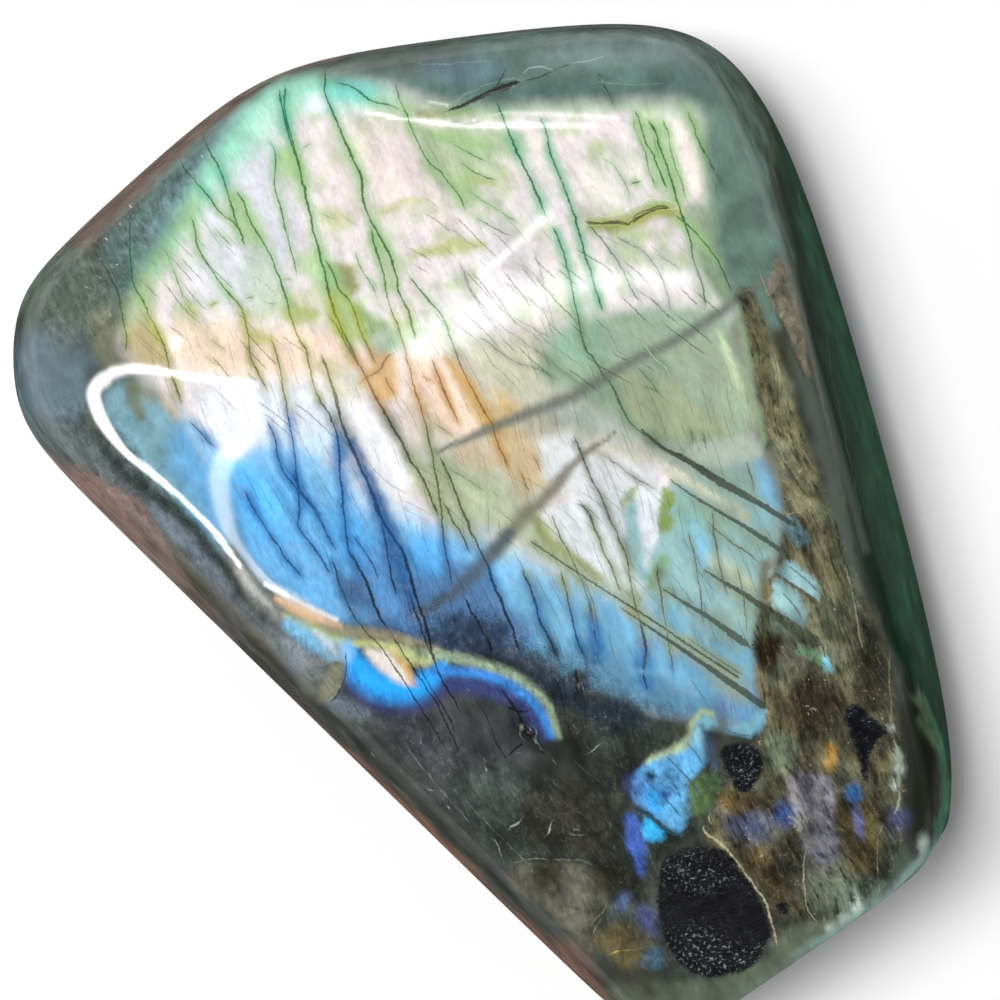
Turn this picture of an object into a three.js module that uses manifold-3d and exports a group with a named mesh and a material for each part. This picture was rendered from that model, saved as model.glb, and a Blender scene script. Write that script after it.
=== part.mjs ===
// A labradorite freeform: one piece of polished stone, lying on its flat back.
// Millimetres, +Z up. The stone is a blunt wedge of soft facets: each facet is a
// plane, and neighbouring planes melt into each other as a polished edge does.
import * as THREE from 'three';
import { mergeVertices } from 'three/addons/utils/BufferGeometryUtils.js';
import Module from 'manifold-3d';

const wasm = await Module();
wasm.setup();

// ---- driving dimensions ----
const HUB = new THREE.Vector3(0, 0, 20);    // facets are measured from this point
const HEART = new THREE.Vector3(3, 5, 19);  // a point deep inside, where the surface is cast from
const CAST = new THREE.Vector3(50, 55, 24); // spread of the cast rays, like the stone's half sizes
const FINENESS = 17;                        // how finely the cast sphere is divided
const FAR = 120;                            // beyond the stone from HEART, any way
const CUTTER = 200;                         // side of the block that saws a face flat

// The sawn foot: a flat face on the lower right edge.
const FOOT_AZIMUTH = -54.5;                 // degrees, where the face looks
const FOOT_REACH = 55.2;                    // its distance from the frame's axis

// Facets: azimuth and elevation of the outward normal in degrees, reach from HUB.
const SIDES = [
  { name: 'right upper', azimuth: 18.5, elevation: 16, reach: 42.8 },
  { name: 'right lower', azimuth: 13.5, elevation: 16, reach: 42.1 },
  { name: 'right corner', azimuth: -12, elevation: 13, reach: 55.8 },
  { name: 'foot corner', azimuth: -37, elevation: 8, reach: 60.9 },
  { name: 'tip', azimuth: -90, elevation: 8, reach: 56.4 },
  { name: 'lower left', azimuth: 225.7, elevation: 8, reach: 27.3 },
  { name: 'nose', azimuth: 180, elevation: 8, reach: 51.8 },
  { name: 'upper left', azimuth: 133, elevation: 8, reach: 54.4 },
  { name: 'top left', azimuth: 118, elevation: 8, reach: 57.5 },
  { name: 'top', azimuth: 97.5, elevation: 8, reach: 53.8 },
  { name: 'top right', azimuth: 80, elevation: 8, reach: 59.2 },
  { name: 'shoulder', azimuth: 55, elevation: 10, reach: 58.6 },
  { name: 'low shoulder', azimuth: 34, elevation: 15, reach: 51.4 },
];
const DOME = [
  { name: 'crown', azimuth: 60, elevation: 87, reach: 24.4 },
  { name: 'upper', azimuth: 100, elevation: 76, reach: 30.6 },
  { name: 'left', azimuth: 185, elevation: 74, reach: 30.0 },
  { name: 'lower', azimuth: 243, elevation: 67, reach: 27.4 },
  { name: 'right band', azimuth: 16, elevation: 69, reach: 31.6 },
  { name: 'foot band', azimuth: -50, elevation: 73, reach: 34.6 },
];
const BEVELS = [
  { name: 'top', azimuth: 96, elevation: 47, reach: 46.6 },
  { name: 'upper left', azimuth: 132, elevation: 42, reach: 49.0 },
  { name: 'nose', azimuth: 183, elevation: 46, reach: 43.4 },
  { name: 'lower left', azimuth: 226, elevation: 41, reach: 30.0 },
];
const BACK = [
  { name: 'right', azimuth: 15, elevation: -32, reach: 45.0 },
  { name: 'right corner', azimuth: -20, elevation: -36, reach: 52.0 },
  { name: 'foot', azimuth: -54.5, elevation: -45, reach: 53.0 },
  { name: 'tip', azimuth: -90, elevation: -36, reach: 53.0 },
  { name: 'lower left', azimuth: 226, elevation: -36, reach: 29.5 },
  { name: 'nose', azimuth: 182, elevation: -34, reach: 49.0 },
  { name: 'upper left', azimuth: 130, elevation: -40, reach: 52.0 },
  { name: 'top', azimuth: 96, elevation: -36, reach: 51.5 },
  { name: 'shoulder', azimuth: 50, elevation: -34, reach: 54.0 },
];

// How wide neighbouring facets melt into each other, within a set and between two sets.
const SIDE_SOFTNESS = 2.0;
const DOME_SOFTNESS = 4.5;
const BEVEL_SOFTNESS = 2.2;
const BACK_SOFTNESS = 4.0;
const FRONT_EDGE = 3.0;
const BACK_EDGE = 5.0;

// ---- the soft facets ----
function normalOf({ azimuth, elevation }) {
  const turn = THREE.MathUtils.degToRad(azimuth);
  const lift = THREE.MathUtils.degToRad(elevation);
  return new THREE.Vector3(Math.cos(turn) * Math.cos(lift), Math.sin(turn) * Math.cos(lift), Math.sin(lift));
}

const withNormals = (facets) => facets.map((facet) => ({ normal: normalOf(facet), reach: facet.reach }));
const sides = withNormals(SIDES);
const dome = withNormals(DOME);
const bevels = withNormals(BEVELS);
const back = withNormals(BACK);

// How far a point (from HUB) is outside a set of facets, with their edges melted.
function outsideOf(facets, point, softness) {
  const gaps = facets.map(({ normal, reach }) => normal.dot(point) - reach);
  const widest = Math.max(...gaps);
  const sum = gaps.reduce((total, gap) => total + Math.exp((gap - widest) / softness), 0);
  return widest + softness * Math.log(sum);
}

// The larger of two distances, rounded where they are nearly the same.
function softMax(a, b, softness) {
  const share = THREE.MathUtils.clamp(0.5 + (0.5 * (a - b)) / softness, 0, 1);
  return b * (1 - share) + a * share + softness * share * (1 - share);
}

function outsideStone(place) {
  const point = place.clone().sub(HUB);
  const face = softMax(
    outsideOf(dome, point, DOME_SOFTNESS),
    outsideOf(bevels, point, BEVEL_SOFTNESS),
    FRONT_EDGE,
  );
  const body = softMax(face, outsideOf(sides, point, SIDE_SOFTNESS), FRONT_EDGE);
  return softMax(body, outsideOf(back, point, BACK_SOFTNESS), BACK_EDGE);
}

// Where a ray from HEART leaves the stone, found by halving.
function castToSurface(direction) {
  let inside = 0;
  let outside = FAR;
  const place = new THREE.Vector3();
  for (let step = 0; step < 36; step += 1) {
    const middle = (inside + outside) / 2;
    place.copy(direction).multiplyScalar(middle).add(HEART);
    if (outsideStone(place) < 0) inside = middle;
    else outside = middle;
  }
  return place;
}

// ---- solids ----
function positionsOnly(geometry) {
  geometry.deleteAttribute('normal');
  geometry.deleteAttribute('uv');
  return mergeVertices(geometry);
}

function toSolid(geometry) {
  const merged = positionsOnly(geometry);
  return new wasm.Manifold(new wasm.Mesh({
    numProp: 3,
    vertProperties: new Float32Array(merged.attributes.position.array),
    triVerts: new Uint32Array(merged.index.array),
  }));
}

function toGeometry(solid) {
  const { vertProperties, triVerts } = solid.getMesh();
  const geometry = new THREE.BufferGeometry();
  geometry.setAttribute('position', new THREE.BufferAttribute(vertProperties, 3));
  geometry.setIndex(new THREE.BufferAttribute(triVerts, 1));
  return geometry;
}

// The polished body, before its two flat faces are sawn.
function roughBody() {
  const geometry = positionsOnly(new THREE.IcosahedronGeometry(1, FINENESS));
  const position = geometry.attributes.position;
  const direction = new THREE.Vector3();
  for (let i = 0; i < position.count; i += 1) {
    direction.fromBufferAttribute(position, i).multiply(CAST).normalize();
    position.setXYZ(i, ...castToSurface(direction));
  }
  return toSolid(geometry);
}

// A block whose near face is square to the direction, at that distance from the frame's origin.
function cutter(direction, distance) {
  const block = new THREE.BoxGeometry(CUTTER, CUTTER, CUTTER);
  block.translate(0, 0, distance + CUTTER / 2);
  block.applyQuaternion(new THREE.Quaternion().setFromUnitVectors(new THREE.Vector3(0, 0, 1), direction));
  return toSolid(block);
}

function stoneGeometry() {
  const down = new THREE.Vector3(0, 0, -1);
  const toFoot = normalOf({ azimuth: FOOT_AZIMUTH, elevation: 0 });
  const solid = roughBody().subtract(cutter(down, 0)).subtract(cutter(toFoot, FOOT_REACH));
  const geometry = toGeometry(solid);
  geometry.computeBoundingBox();
  const centre = geometry.boundingBox.getCenter(new THREE.Vector3());
  geometry.translate(-centre.x, -centre.y, 0);
  return geometry;
}

const polishedLabradorite = new THREE.MeshStandardMaterial({ color: 0x5f8296, roughness: 0.12, metalness: 0 });
const stone = new THREE.Mesh(stoneGeometry(), polishedLabradorite);
stone.name = 'stone';

const group = new THREE.Group();
group.add(stone);

export default group;
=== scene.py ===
"""A polished labradorite freeform: one stone lying on its flat back, seen from above."""
import math
from types import SimpleNamespace

import bmesh
import bpy
import numpy as np
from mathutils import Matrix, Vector


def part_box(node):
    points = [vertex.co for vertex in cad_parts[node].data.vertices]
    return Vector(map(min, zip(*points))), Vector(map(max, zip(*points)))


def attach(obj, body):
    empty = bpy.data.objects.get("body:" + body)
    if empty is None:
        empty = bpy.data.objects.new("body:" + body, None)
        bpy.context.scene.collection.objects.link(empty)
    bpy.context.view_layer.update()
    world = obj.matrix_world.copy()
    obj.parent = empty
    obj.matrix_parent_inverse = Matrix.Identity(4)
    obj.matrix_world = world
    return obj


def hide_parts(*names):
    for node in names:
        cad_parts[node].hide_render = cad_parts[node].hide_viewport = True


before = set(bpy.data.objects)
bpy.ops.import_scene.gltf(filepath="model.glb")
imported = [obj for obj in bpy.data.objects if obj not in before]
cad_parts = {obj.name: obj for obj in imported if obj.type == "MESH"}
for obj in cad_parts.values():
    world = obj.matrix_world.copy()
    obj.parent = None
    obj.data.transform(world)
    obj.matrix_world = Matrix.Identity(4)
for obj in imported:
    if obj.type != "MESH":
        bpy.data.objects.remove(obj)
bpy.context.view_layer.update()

MM = 0.001  # metres
NODE = "stone"

# ---------------------------------------------------------------- the view
# The frame is 1000 x 1000 pixels. Marks on the stone's front are placed in its pixels.
FRAME = 1000
PIXEL = 0.11  # mm that a pixel spans at the level of the stone's outline
OUTLINE_LEVEL = 16.0  # mm over the floor
CAMERA_DISTANCE = 420.0  # mm over the outline's level
ORIGIN_PIXEL = (490.0, 535.0)  # where the form's own origin shows
EYE = np.array([
    (FRAME/2 - ORIGIN_PIXEL[0])*PIXEL,
    (ORIGIN_PIXEL[1] - FRAME/2)*PIXEL,
    OUTLINE_LEVEL + CAMERA_DISTANCE,
])
SENSOR = 36.0  # mm wide


def to_pixels(points):
    """Where the camera sees points of the form, in pixels of the frame."""
    reach = CAMERA_DISTANCE/(EYE[2] - points[:, 2])
    x = EYE[0] + (points[:, 0] - EYE[0])*reach
    y = EYE[1] + (points[:, 1] - EYE[1])*reach
    return ORIGIN_PIXEL[0] + x/PIXEL, ORIGIN_PIXEL[1] - y/PIXEL


# ---------------------------------------------------------------- the form
# Each facet is a plane: azimuth and elevation of its normal in degrees, reach from the hub in mm.
HUB = np.array([0.0, 0.0, 20.0])
HEART = np.array([3.0, 5.0, 19.0])  # a point well inside, which every ray of the mesh starts from
SIDES = [
    (18.5, 16, 42.8), (13.5, 16, 42.1), (-12, 13, 55.8), (-37, 8, 60.9), (-90, 8, 56.4),
    (225.7, 8, 27.3), (180, 8, 51.8), (133, 8, 54.4), (118, 8, 57.5), (97.5, 8, 53.8),
    (80, 8, 59.2), (55, 10, 58.6), (34, 15, 51.4),
]
DOME = [
    (60, 87, 24.4), (100, 76, 30.6), (185, 74, 30.0), (243, 67, 27.4), (16, 69, 31.6),
    (-50, 73, 34.6),
]
BEVELS = [(96, 47, 46.6), (132, 42, 49.0), (183, 46, 43.4), (226, 41, 30.0)]
BACK = [
    (15, -32, 45.0), (-20, -36, 52.0), (-54.5, -45, 53.0), (-90, -36, 53.0), (226, -36, 29.5),
    (182, -34, 49.0), (130, -40, 52.0), (96, -36, 51.5), (50, -34, 54.0),
]
SIDE_SOFTNESS, DOME_SOFTNESS, BEVEL_SOFTNESS, BACK_SOFTNESS = 2.0, 4.5, 2.2, 4.0  # mm
FRONT_EDGE, BACK_EDGE, FLAT_EDGE = 3.0, 5.0, 1.0  # radii of the edges between the groups, mm
FOOT = (-54.5, 55.2)  # azimuth and reach from the origin of the flat foot
FAR = 120.0  # mm from the heart, clear outside the stone
HALVINGS = 24  # steps of the search for the surface along a ray
SLOPE_STEP = 0.01  # mm over which the form's slope is measured


def facet_planes(facets):
    angles = np.radians(np.array(facets)[:, :2])
    azimuth, elevation = angles.T
    level = np.cos(elevation)
    normals = np.stack([level*np.cos(azimuth), level*np.sin(azimuth), np.sin(elevation)], 1)
    return normals, np.array(facets)[:, 2]


def rounded_planes(points, facets, softness):
    normals, reach = facet_planes(facets)
    over = (points - HUB) @ normals.T - reach
    top = over.max(1)
    return top + softness*np.log(np.exp((over - top[:, None])/softness).sum(1))


def soft_max(a, b, radius):
    share = np.clip(0.5 + 0.5*(a - b)/radius, 0, 1)
    return b*(1 - share) + a*share + radius*share*(1 - share)


def form(points):
    """Below zero inside the stone, above zero outside, in mm."""
    front = soft_max(
        rounded_planes(points, DOME, DOME_SOFTNESS),
        rounded_planes(points, BEVELS, BEVEL_SOFTNESS), FRONT_EDGE)
    body = soft_max(front, rounded_planes(points, SIDES, SIDE_SOFTNESS), FRONT_EDGE)
    body = soft_max(body, rounded_planes(points, BACK, BACK_SOFTNESS), BACK_EDGE)
    azimuth = math.radians(FOOT[0])
    foot = points[:, 0]*math.cos(azimuth) + points[:, 1]*math.sin(azimuth) - FOOT[1]
    body = soft_max(body, foot, FLAT_EDGE)
    return soft_max(body, -points[:, 2], FLAT_EDGE)


def form_normals(points):
    steps = SLOPE_STEP*np.eye(3)
    slopes = [form(points + step) - form(points - step) for step in steps]
    normals = np.stack(slopes, 1)
    return normals/np.linalg.norm(normals, axis=1)[:, None]


def on_form(directions):
    """The stone's surface along rays from its heart."""
    near, far = np.zeros(len(directions)), np.full(len(directions), FAR)
    for _ in range(HALVINGS):
        middle = (near + far)/2
        inside = form(HEART + directions*middle[:, None]) < 0
        near, far = np.where(inside, middle, near), np.where(inside, far, middle)
    return HEART + directions*middle[:, None]


# ---------------------------------------------------------------- the mesh
CAST = (50.0, 55.0, 24.0)  # the ball of rays is stretched like the stone, mm
BALL_LEVELS = 5
# The longest triangle side where the front is full of marks, on its plain parts, and elsewhere.
FINE_SPACING, PLAIN_SPACING, BACK_SPACING = 0.50, 0.80, 2.2  # mm
BEND_ANGLE = 9.0  # a side is split while the surface turns more than this along it, degrees
BEND_SPACING = 0.35  # but not below this length, mm
MOST_ROUNDS = 5
MOST_TRIANGLES = 195000
FRONT_SPACED = (0.05, 0.2)  # how far a face turns up to take the spacing of the front
BUSY_EDGE = (-12, 4)  # pixels over which the spacing changes at the outline below
BUSY = [  # the part of the front that is full of marks, in pixels
    (100, 300), (150, 200), (250, 80), (345, 50), (500, 75), (690, 85), (730, 180), (770, 240),
    (820, 380), (870, 560), (910, 700), (915, 800), (890, 880), (800, 950), (700, 1000),
    (610, 980), (560, 860), (500, 780), (420, 720), (340, 720), (290, 660), (210, 560),
    (110, 460)]


def ball():
    mesh = bmesh.new()
    bmesh.ops.create_icosphere(mesh, subdivisions=BALL_LEVELS, radius=1)
    points = np.array([v.co for v in mesh.verts], float)*CAST
    triangles = np.array([[v.index for v in face.verts] for face in mesh.faces])
    mesh.free()
    return points/np.linalg.norm(points, axis=1)[:, None], triangles


def sides_of(triangles):
    """Every side once, and for each triangle its sides 01, 12 and 20."""
    pairs = np.stack([triangles[:, [0, 1]], triangles[:, [1, 2]], triangles[:, [2, 0]]], 1)
    pairs = np.sort(pairs.reshape(-1, 2), 1)
    sides, number = np.unique(pairs, axis=0, return_inverse=True)
    return sides, number.reshape(-1, 3)


def split(directions, triangles, wanted, sides, number):
    """Halves the wanted sides: a triangle with one is cut in two, one with more is cut in four."""
    while True:
        count = wanted[number].sum(1)
        grown = wanted.copy()
        grown[number[count >= 2].ravel()] = True
        if (grown == wanted).all():
            break
        wanted = grown
    middle = np.full(len(sides), -1)
    middle[wanted] = len(directions) + np.arange(wanted.sum())
    new = directions[sides[wanted]].sum(1)
    directions = np.concatenate([directions, new/np.linalg.norm(new, axis=1)[:, None]])
    at = middle[number]
    four, one = count == 3, count == 1
    a, b, c = triangles[four].T
    ab, bc, ca = at[four].T
    made = [triangles[count == 0]]
    quarters = ((a, ab, ca), (ab, b, bc), (ca, bc, c), (ab, bc, ca))
    made += [np.stack(corners, 1) for corners in quarters]
    turn = np.argmax(at[one] >= 0, axis=1)
    row = np.arange(len(turn))
    a, b, c = (triangles[one][row, (turn + i) % 3] for i in range(3))
    ab = at[one][row, turn]
    made += [np.stack(corners, 1) for corners in ((a, ab, c), (ab, b, c))]
    return directions, np.concatenate(made)


def build_surface():
    directions, triangles = ball()
    for _ in range(MOST_ROUNDS):
        points = on_form(directions)
        normals = form_normals(points)
        sides, number = sides_of(triangles)
        ends = points[sides]
        length = np.linalg.norm(ends[:, 0] - ends[:, 1], axis=1)
        alike = (normals[sides[:, 0]]*normals[sides[:, 1]]).sum(1)
        turn = np.degrees(np.arccos(np.clip(alike, -1, 1)))
        front = smooth(*FRONT_SPACED, normals[sides].mean(1)[:, 2])
        busy = smooth(*BUSY_EDGE, depth_in(*to_pixels(ends.mean(1)), BUSY))
        longest = FINE_SPACING*busy + PLAIN_SPACING*(1 - busy)
        longest = longest*front + BACK_SPACING*(1 - front)
        wanted = (length > longest) | ((turn > BEND_ANGLE) & (length > BEND_SPACING))
        if not wanted.any():
            break
        divided = split(directions, triangles, wanted, sides, number)
        if len(divided[1]) > MOST_TRIANGLES:
            break
        directions, triangles = divided
    points = on_form(directions)
    return points, form_normals(points), triangles


# ---------------------------------------------------------------- drawing on the front
SCATTER = (127.1, 311.7, 74.7)  # how fast x, y and the seed turn the sine that scatters them
SCATTER_SIZE = 43758.5453
LAYER_SEED = 17  # from the seed of one layer of a fractal to the next
CURVE_STEPS = 4  # of a flowing line, from each of its points to the next
ENDLESS = 1e9  # pixels, farther than anything in the frame
WANDER, FINE_WANDER = 24, 11  # pixels over which the edge of a mark wanders, at most and finely
WANDER_STRETCH = 6  # how long its waves are for their height
FINE_SHARE = 0.7  # of the fine waves in it
ACROSS_SEEDS, DOWN_SEEDS = (0, 3), (7, 5)  # added to a mark's seed, for its broad and fine waves
CORNER_CUT = 0.25  # of each side of an outline, cut off at both its ends


def smooth(low, high, value):
    share = np.clip((value - low)/(high - low), 0, 1)
    return share*share*(3 - 2*share)


def lattice(x, y, seed):
    value = np.sin(x*SCATTER[0] + y*SCATTER[1] + seed*SCATTER[2])*SCATTER_SIZE
    return value - np.floor(value)


def noise(x, y, size, seed):
    """From -1 to 1, changing over about size pixels."""
    x, y = x/size, y/size
    left, top = np.floor(x), np.floor(y)
    across, down = smooth(0, 1, x - left), smooth(0, 1, y - top)
    upper = lattice(left, top, seed)*(1 - across) + lattice(left + 1, top, seed)*across
    lower = lattice(left, top + 1, seed)*(1 - across) + lattice(left + 1, top + 1, seed)*across
    return 2*(upper*(1 - down) + lower*down) - 1


def fractal(x, y, size, seed, octaves=3):
    layers = [noise(x, y, size/2**i, seed + LAYER_SEED*i)/2**i for i in range(octaves)]
    return sum(layers)/(2 - 0.5**(octaves - 1))


def rounded(corners, times=2):
    """A closed outline with its corners cut round."""
    points = np.array(corners, float)
    for _ in range(times):
        following = np.roll(points, -1, 0)
        pairs = [(1 - CORNER_CUT)*points + CORNER_CUT*following,
                 CORNER_CUT*points + (1 - CORNER_CUT)*following]
        points = np.stack(pairs, 1).reshape(-1, 2)
    return points


def flowing(corners):
    """A smooth curve through the points of an open line."""
    points = np.array(corners, float)
    padded = np.concatenate([[2*points[0] - points[1]], points, [2*points[-1] - points[-2]]])
    curve = []
    for a, b, c, d in zip(padded, padded[1:], padded[2:], padded[3:]):
        for t in np.arange(CURVE_STEPS)/CURVE_STEPS:
            bend, twist = 2*a - 5*b + 4*c - d, 3*b - a - 3*c + d
            curve.append(0.5*(2*b + (c - a)*t + bend*t**2 + twist*t**3))
    return np.array(curve + [points[-1]])


def to_line(x, y, points):
    """The distance to a line of points, how far along it from 0 to 1, and the side, 1 or -1."""
    lengths = np.linalg.norm(np.diff(points, axis=0), axis=1)
    start = np.concatenate([[0], np.cumsum(lengths)])
    best, along, side = np.full(x.shape, ENDLESS), np.zeros(x.shape), np.ones(x.shape)
    for (ax, ay), (bx, by), length, begin in zip(points, points[1:], lengths, start):
        dx, dy = (bx - ax)/length, (by - ay)/length
        t = np.clip((x - ax)*dx + (y - ay)*dy, 0, length)
        gap = np.hypot(x - ax - t*dx, y - ay - t*dy)
        closer = gap < best
        best = np.where(closer, gap, best)
        along = np.where(closer, (begin + t)/start[-1], along)
        side = np.where(closer, np.sign((x - ax)*dy - (y - ay)*dx), side)
    return best, along, side


def depth_in(x, y, outline):
    """The distance to a closed outline, above zero inside it."""
    best, inside = np.full(x.shape, ENDLESS), np.zeros(x.shape, bool)
    for (ax, ay), (bx, by) in zip(outline, np.roll(outline, -1, 0)):
        dx, dy = bx - ax, by - ay
        t = np.clip(((x - ax)*dx + (y - ay)*dy)/max(dx*dx + dy*dy, 1e-9), 0, 1)
        best = np.minimum(best, np.hypot(x - ax - t*dx, y - ay - t*dy))
        if dy:
            inside ^= ((ay > y) != (by > y)) & (x < dx*(y - ay)/dy + ax)
    return np.where(inside, best, -best)


def linear(colour):
    """A colour as the share of light that it sends back, by the sRGB curve."""
    share = np.array(colour, float)/255
    return np.where(share <= 0.04045, share/12.92, ((share + 0.055)/1.055)**2.4)


def area(name, colour, strength, soft, rough, outline, sharp=False):
    """A patch of colour: how soft its edge is and how far the edge wanders, in pixels."""
    corners = np.array(outline, float) if sharp else rounded(outline)

    def mask(x, y):
        return smooth(-soft, soft, depth_in(x, y, corners))
    reach = soft + rough
    return dict(name=name, colour=colour, strength=strength, rough=rough, mask=mask,
                low=corners.min(0) - reach, high=corners.max(0) + reach)


def band(name, colour, strength, soft, rough, line, widths):
    """A stripe of colour along a line, with its half widths from end to end in pixels."""
    points = flowing(line)

    def mask(x, y):
        gap, along, _ = to_line(x, y, points)
        width = np.interp(along, np.linspace(0, 1, len(widths)), widths)
        return smooth(1 + soft, 1 - soft, gap/width)
    reach = max(widths)*(1 + soft) + rough
    return dict(name=name, colour=colour, strength=strength, rough=rough, mask=mask,
                low=points.min(0) - reach, high=points.max(0) + reach)


def spot(name, colour, strength, soft, rough, centre, radii, turn=0):
    """An oval of colour, turned clockwise by degrees."""
    angle, middle = math.radians(turn), np.array(centre, float)

    def mask(x, y):
        x, y = x - middle[0], y - middle[1]
        along = (x*math.cos(angle) + y*math.sin(angle))/radii[0]
        across = (y*math.cos(angle) - x*math.sin(angle))/radii[1]
        return smooth(1 + soft, 1 - soft, np.hypot(along, across))
    reach = max(radii)*(1 + soft) + rough
    return dict(name=name, colour=colour, strength=strength, rough=rough, mask=mask,
                low=middle - reach, high=middle + reach)


def waves(x, y, rough, seed, broad_seed, fine_seed):
    """How far the edge of a rough mark wanders at each point, in pixels."""
    broad = fractal(x, y, min(WANDER, WANDER_STRETCH*rough), seed + broad_seed)
    return rough*(broad + FINE_SHARE*fractal(x, y, FINE_WANDER, seed + fine_seed))


def cover(mark, x, y, seed):
    """How much a mark covers each point, from 0 to 1."""
    covered = np.zeros(x.shape)
    (x0, y0), (x1, y1) = mark["low"], mark["high"]
    near = (x > x0) & (x < x1) & (y > y0) & (y < y1)
    if near.any():
        nx, ny = x[near], y[near]
        if mark["rough"]:
            nx = nx + waves(nx, ny, mark["rough"], seed, *ACROSS_SEEDS)
            ny = ny + waves(nx, ny, mark["rough"], seed, *DOWN_SEEDS)
        covered[near] = mark["mask"](nx, ny)*mark["strength"]
    return covered


def blend(below, above, share):
    return below*(1 - share[..., None]) + above*share[..., None]


def lay(colours, x, y, marks):
    """Colours with marks over them. The seed of a mark's edge is its place in the list."""
    for number, mark in enumerate(marks):
        colours = blend(colours, linear(mark["colour"]), cover(mark, x, y, number))
    return colours
# ---------------------------------------------------------------- colours, red green blue to 255
DARK = (48, 54, 48)
SMOKE = (72, 76, 70)
OLIVE_GREY = (76, 74, 56)
GREEN_GREY = (96, 122, 114)
# The next colour is a painted pale reflection of the top bevel.
PALE_REFLECTION_GREY = (134, 152, 148)
STEEL = (98, 120, 126)
# The next colour is a painted reflection: the pinkish brown that skin shows in the steep rims.
RIM_SKIN_REFLECTION = (112, 94, 84)
SILVER = (230, 224, 225)
COLD_SILVER = (222, 225, 234)
# The next colour is a painted glare white.
GLARE_WHITE = (246, 246, 248)
SHELL = (238, 224, 219)
MINT = (150, 222, 196)
LIME = (170, 182, 84)
OLIVE = (132, 140, 66)
PEACH = (246, 220, 198)
ORANGE = (224, 182, 118)
SAGE = (146, 172, 144)
PALE_SAGE = (170, 186, 156)
PALE_BLUE = (196, 226, 244)
SKY = (128, 196, 240)
BLUE = (104, 177, 230)
AZURE = (88, 178, 242)
DUSK_BLUE = (116, 176, 208)
BROWN = (90, 88, 66)
OCHRE = (146, 126, 80)
LILAC = (138, 136, 148)
BLACK = (16, 17, 20)
BOTTLE = (26, 62, 44)
MOSS = (46, 100, 74)
CLEAR = None  # for a mark that only says where something is

# ---------------------------------------------------------------- marks on the front, in pixels
GROUND = [
    area("violet ground", (68, 68, 78), 0.6, 22, 12,
         [(345, 690), (400, 700), (440, 694), (500, 706), (540, 760), (520, 820), (470, 800),
          (400, 760)]),
    area("green ground", (58, 68, 60), 0.7, 24, 16,
         [(430, 760), (560, 770), (640, 800), (640, 860), (600, 960), (540, 900), (460, 820)]),
    area("black ground", (40, 44, 40), 0.7, 14, 12,
         [(470, 655), (540, 668), (600, 700), (650, 720), (630, 800), (624, 880), (600, 900),
          (570, 840), (560, 780), (520, 740), (490, 690)]),
    area("brown ground over the clast", (50, 44, 36), 0.65, 14, 10,
         [(520, 790), (560, 780), (606, 800), (618, 850), (600, 862), (540, 856), (514, 836)]),
    area("clast", (88, 86, 72), 0.8, 2.5, 4,
         [(502, 868), (520, 861), (556, 860), (582, 862), (608, 877), (607, 898), (592, 930),
          (582, 946), (560, 926), (532, 900), (512, 884)]),
    band("dark line in the clast", (48, 44, 34), 0.7, 0.8, 2,
         [(540, 866), (556, 884), (566, 902), (580, 912)], [1, 3, 2, 1]),
    area("dark ground by the warm", (36, 34, 24), 0.7, 8, 8,
         [(592, 850), (640, 870), (650, 910), (620, 905), (600, 890)]),
    area("smoke left of the black", (40, 42, 36), 0.6, 18, 12,
         [(570, 770), (640, 780), (630, 860), (580, 850)]),
    area("dark ground right of the webs", (30, 32, 28), 0.6, 14, 10,
         [(520, 756), (560, 760), (568, 790), (548, 806), (524, 796)]),
]
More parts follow.
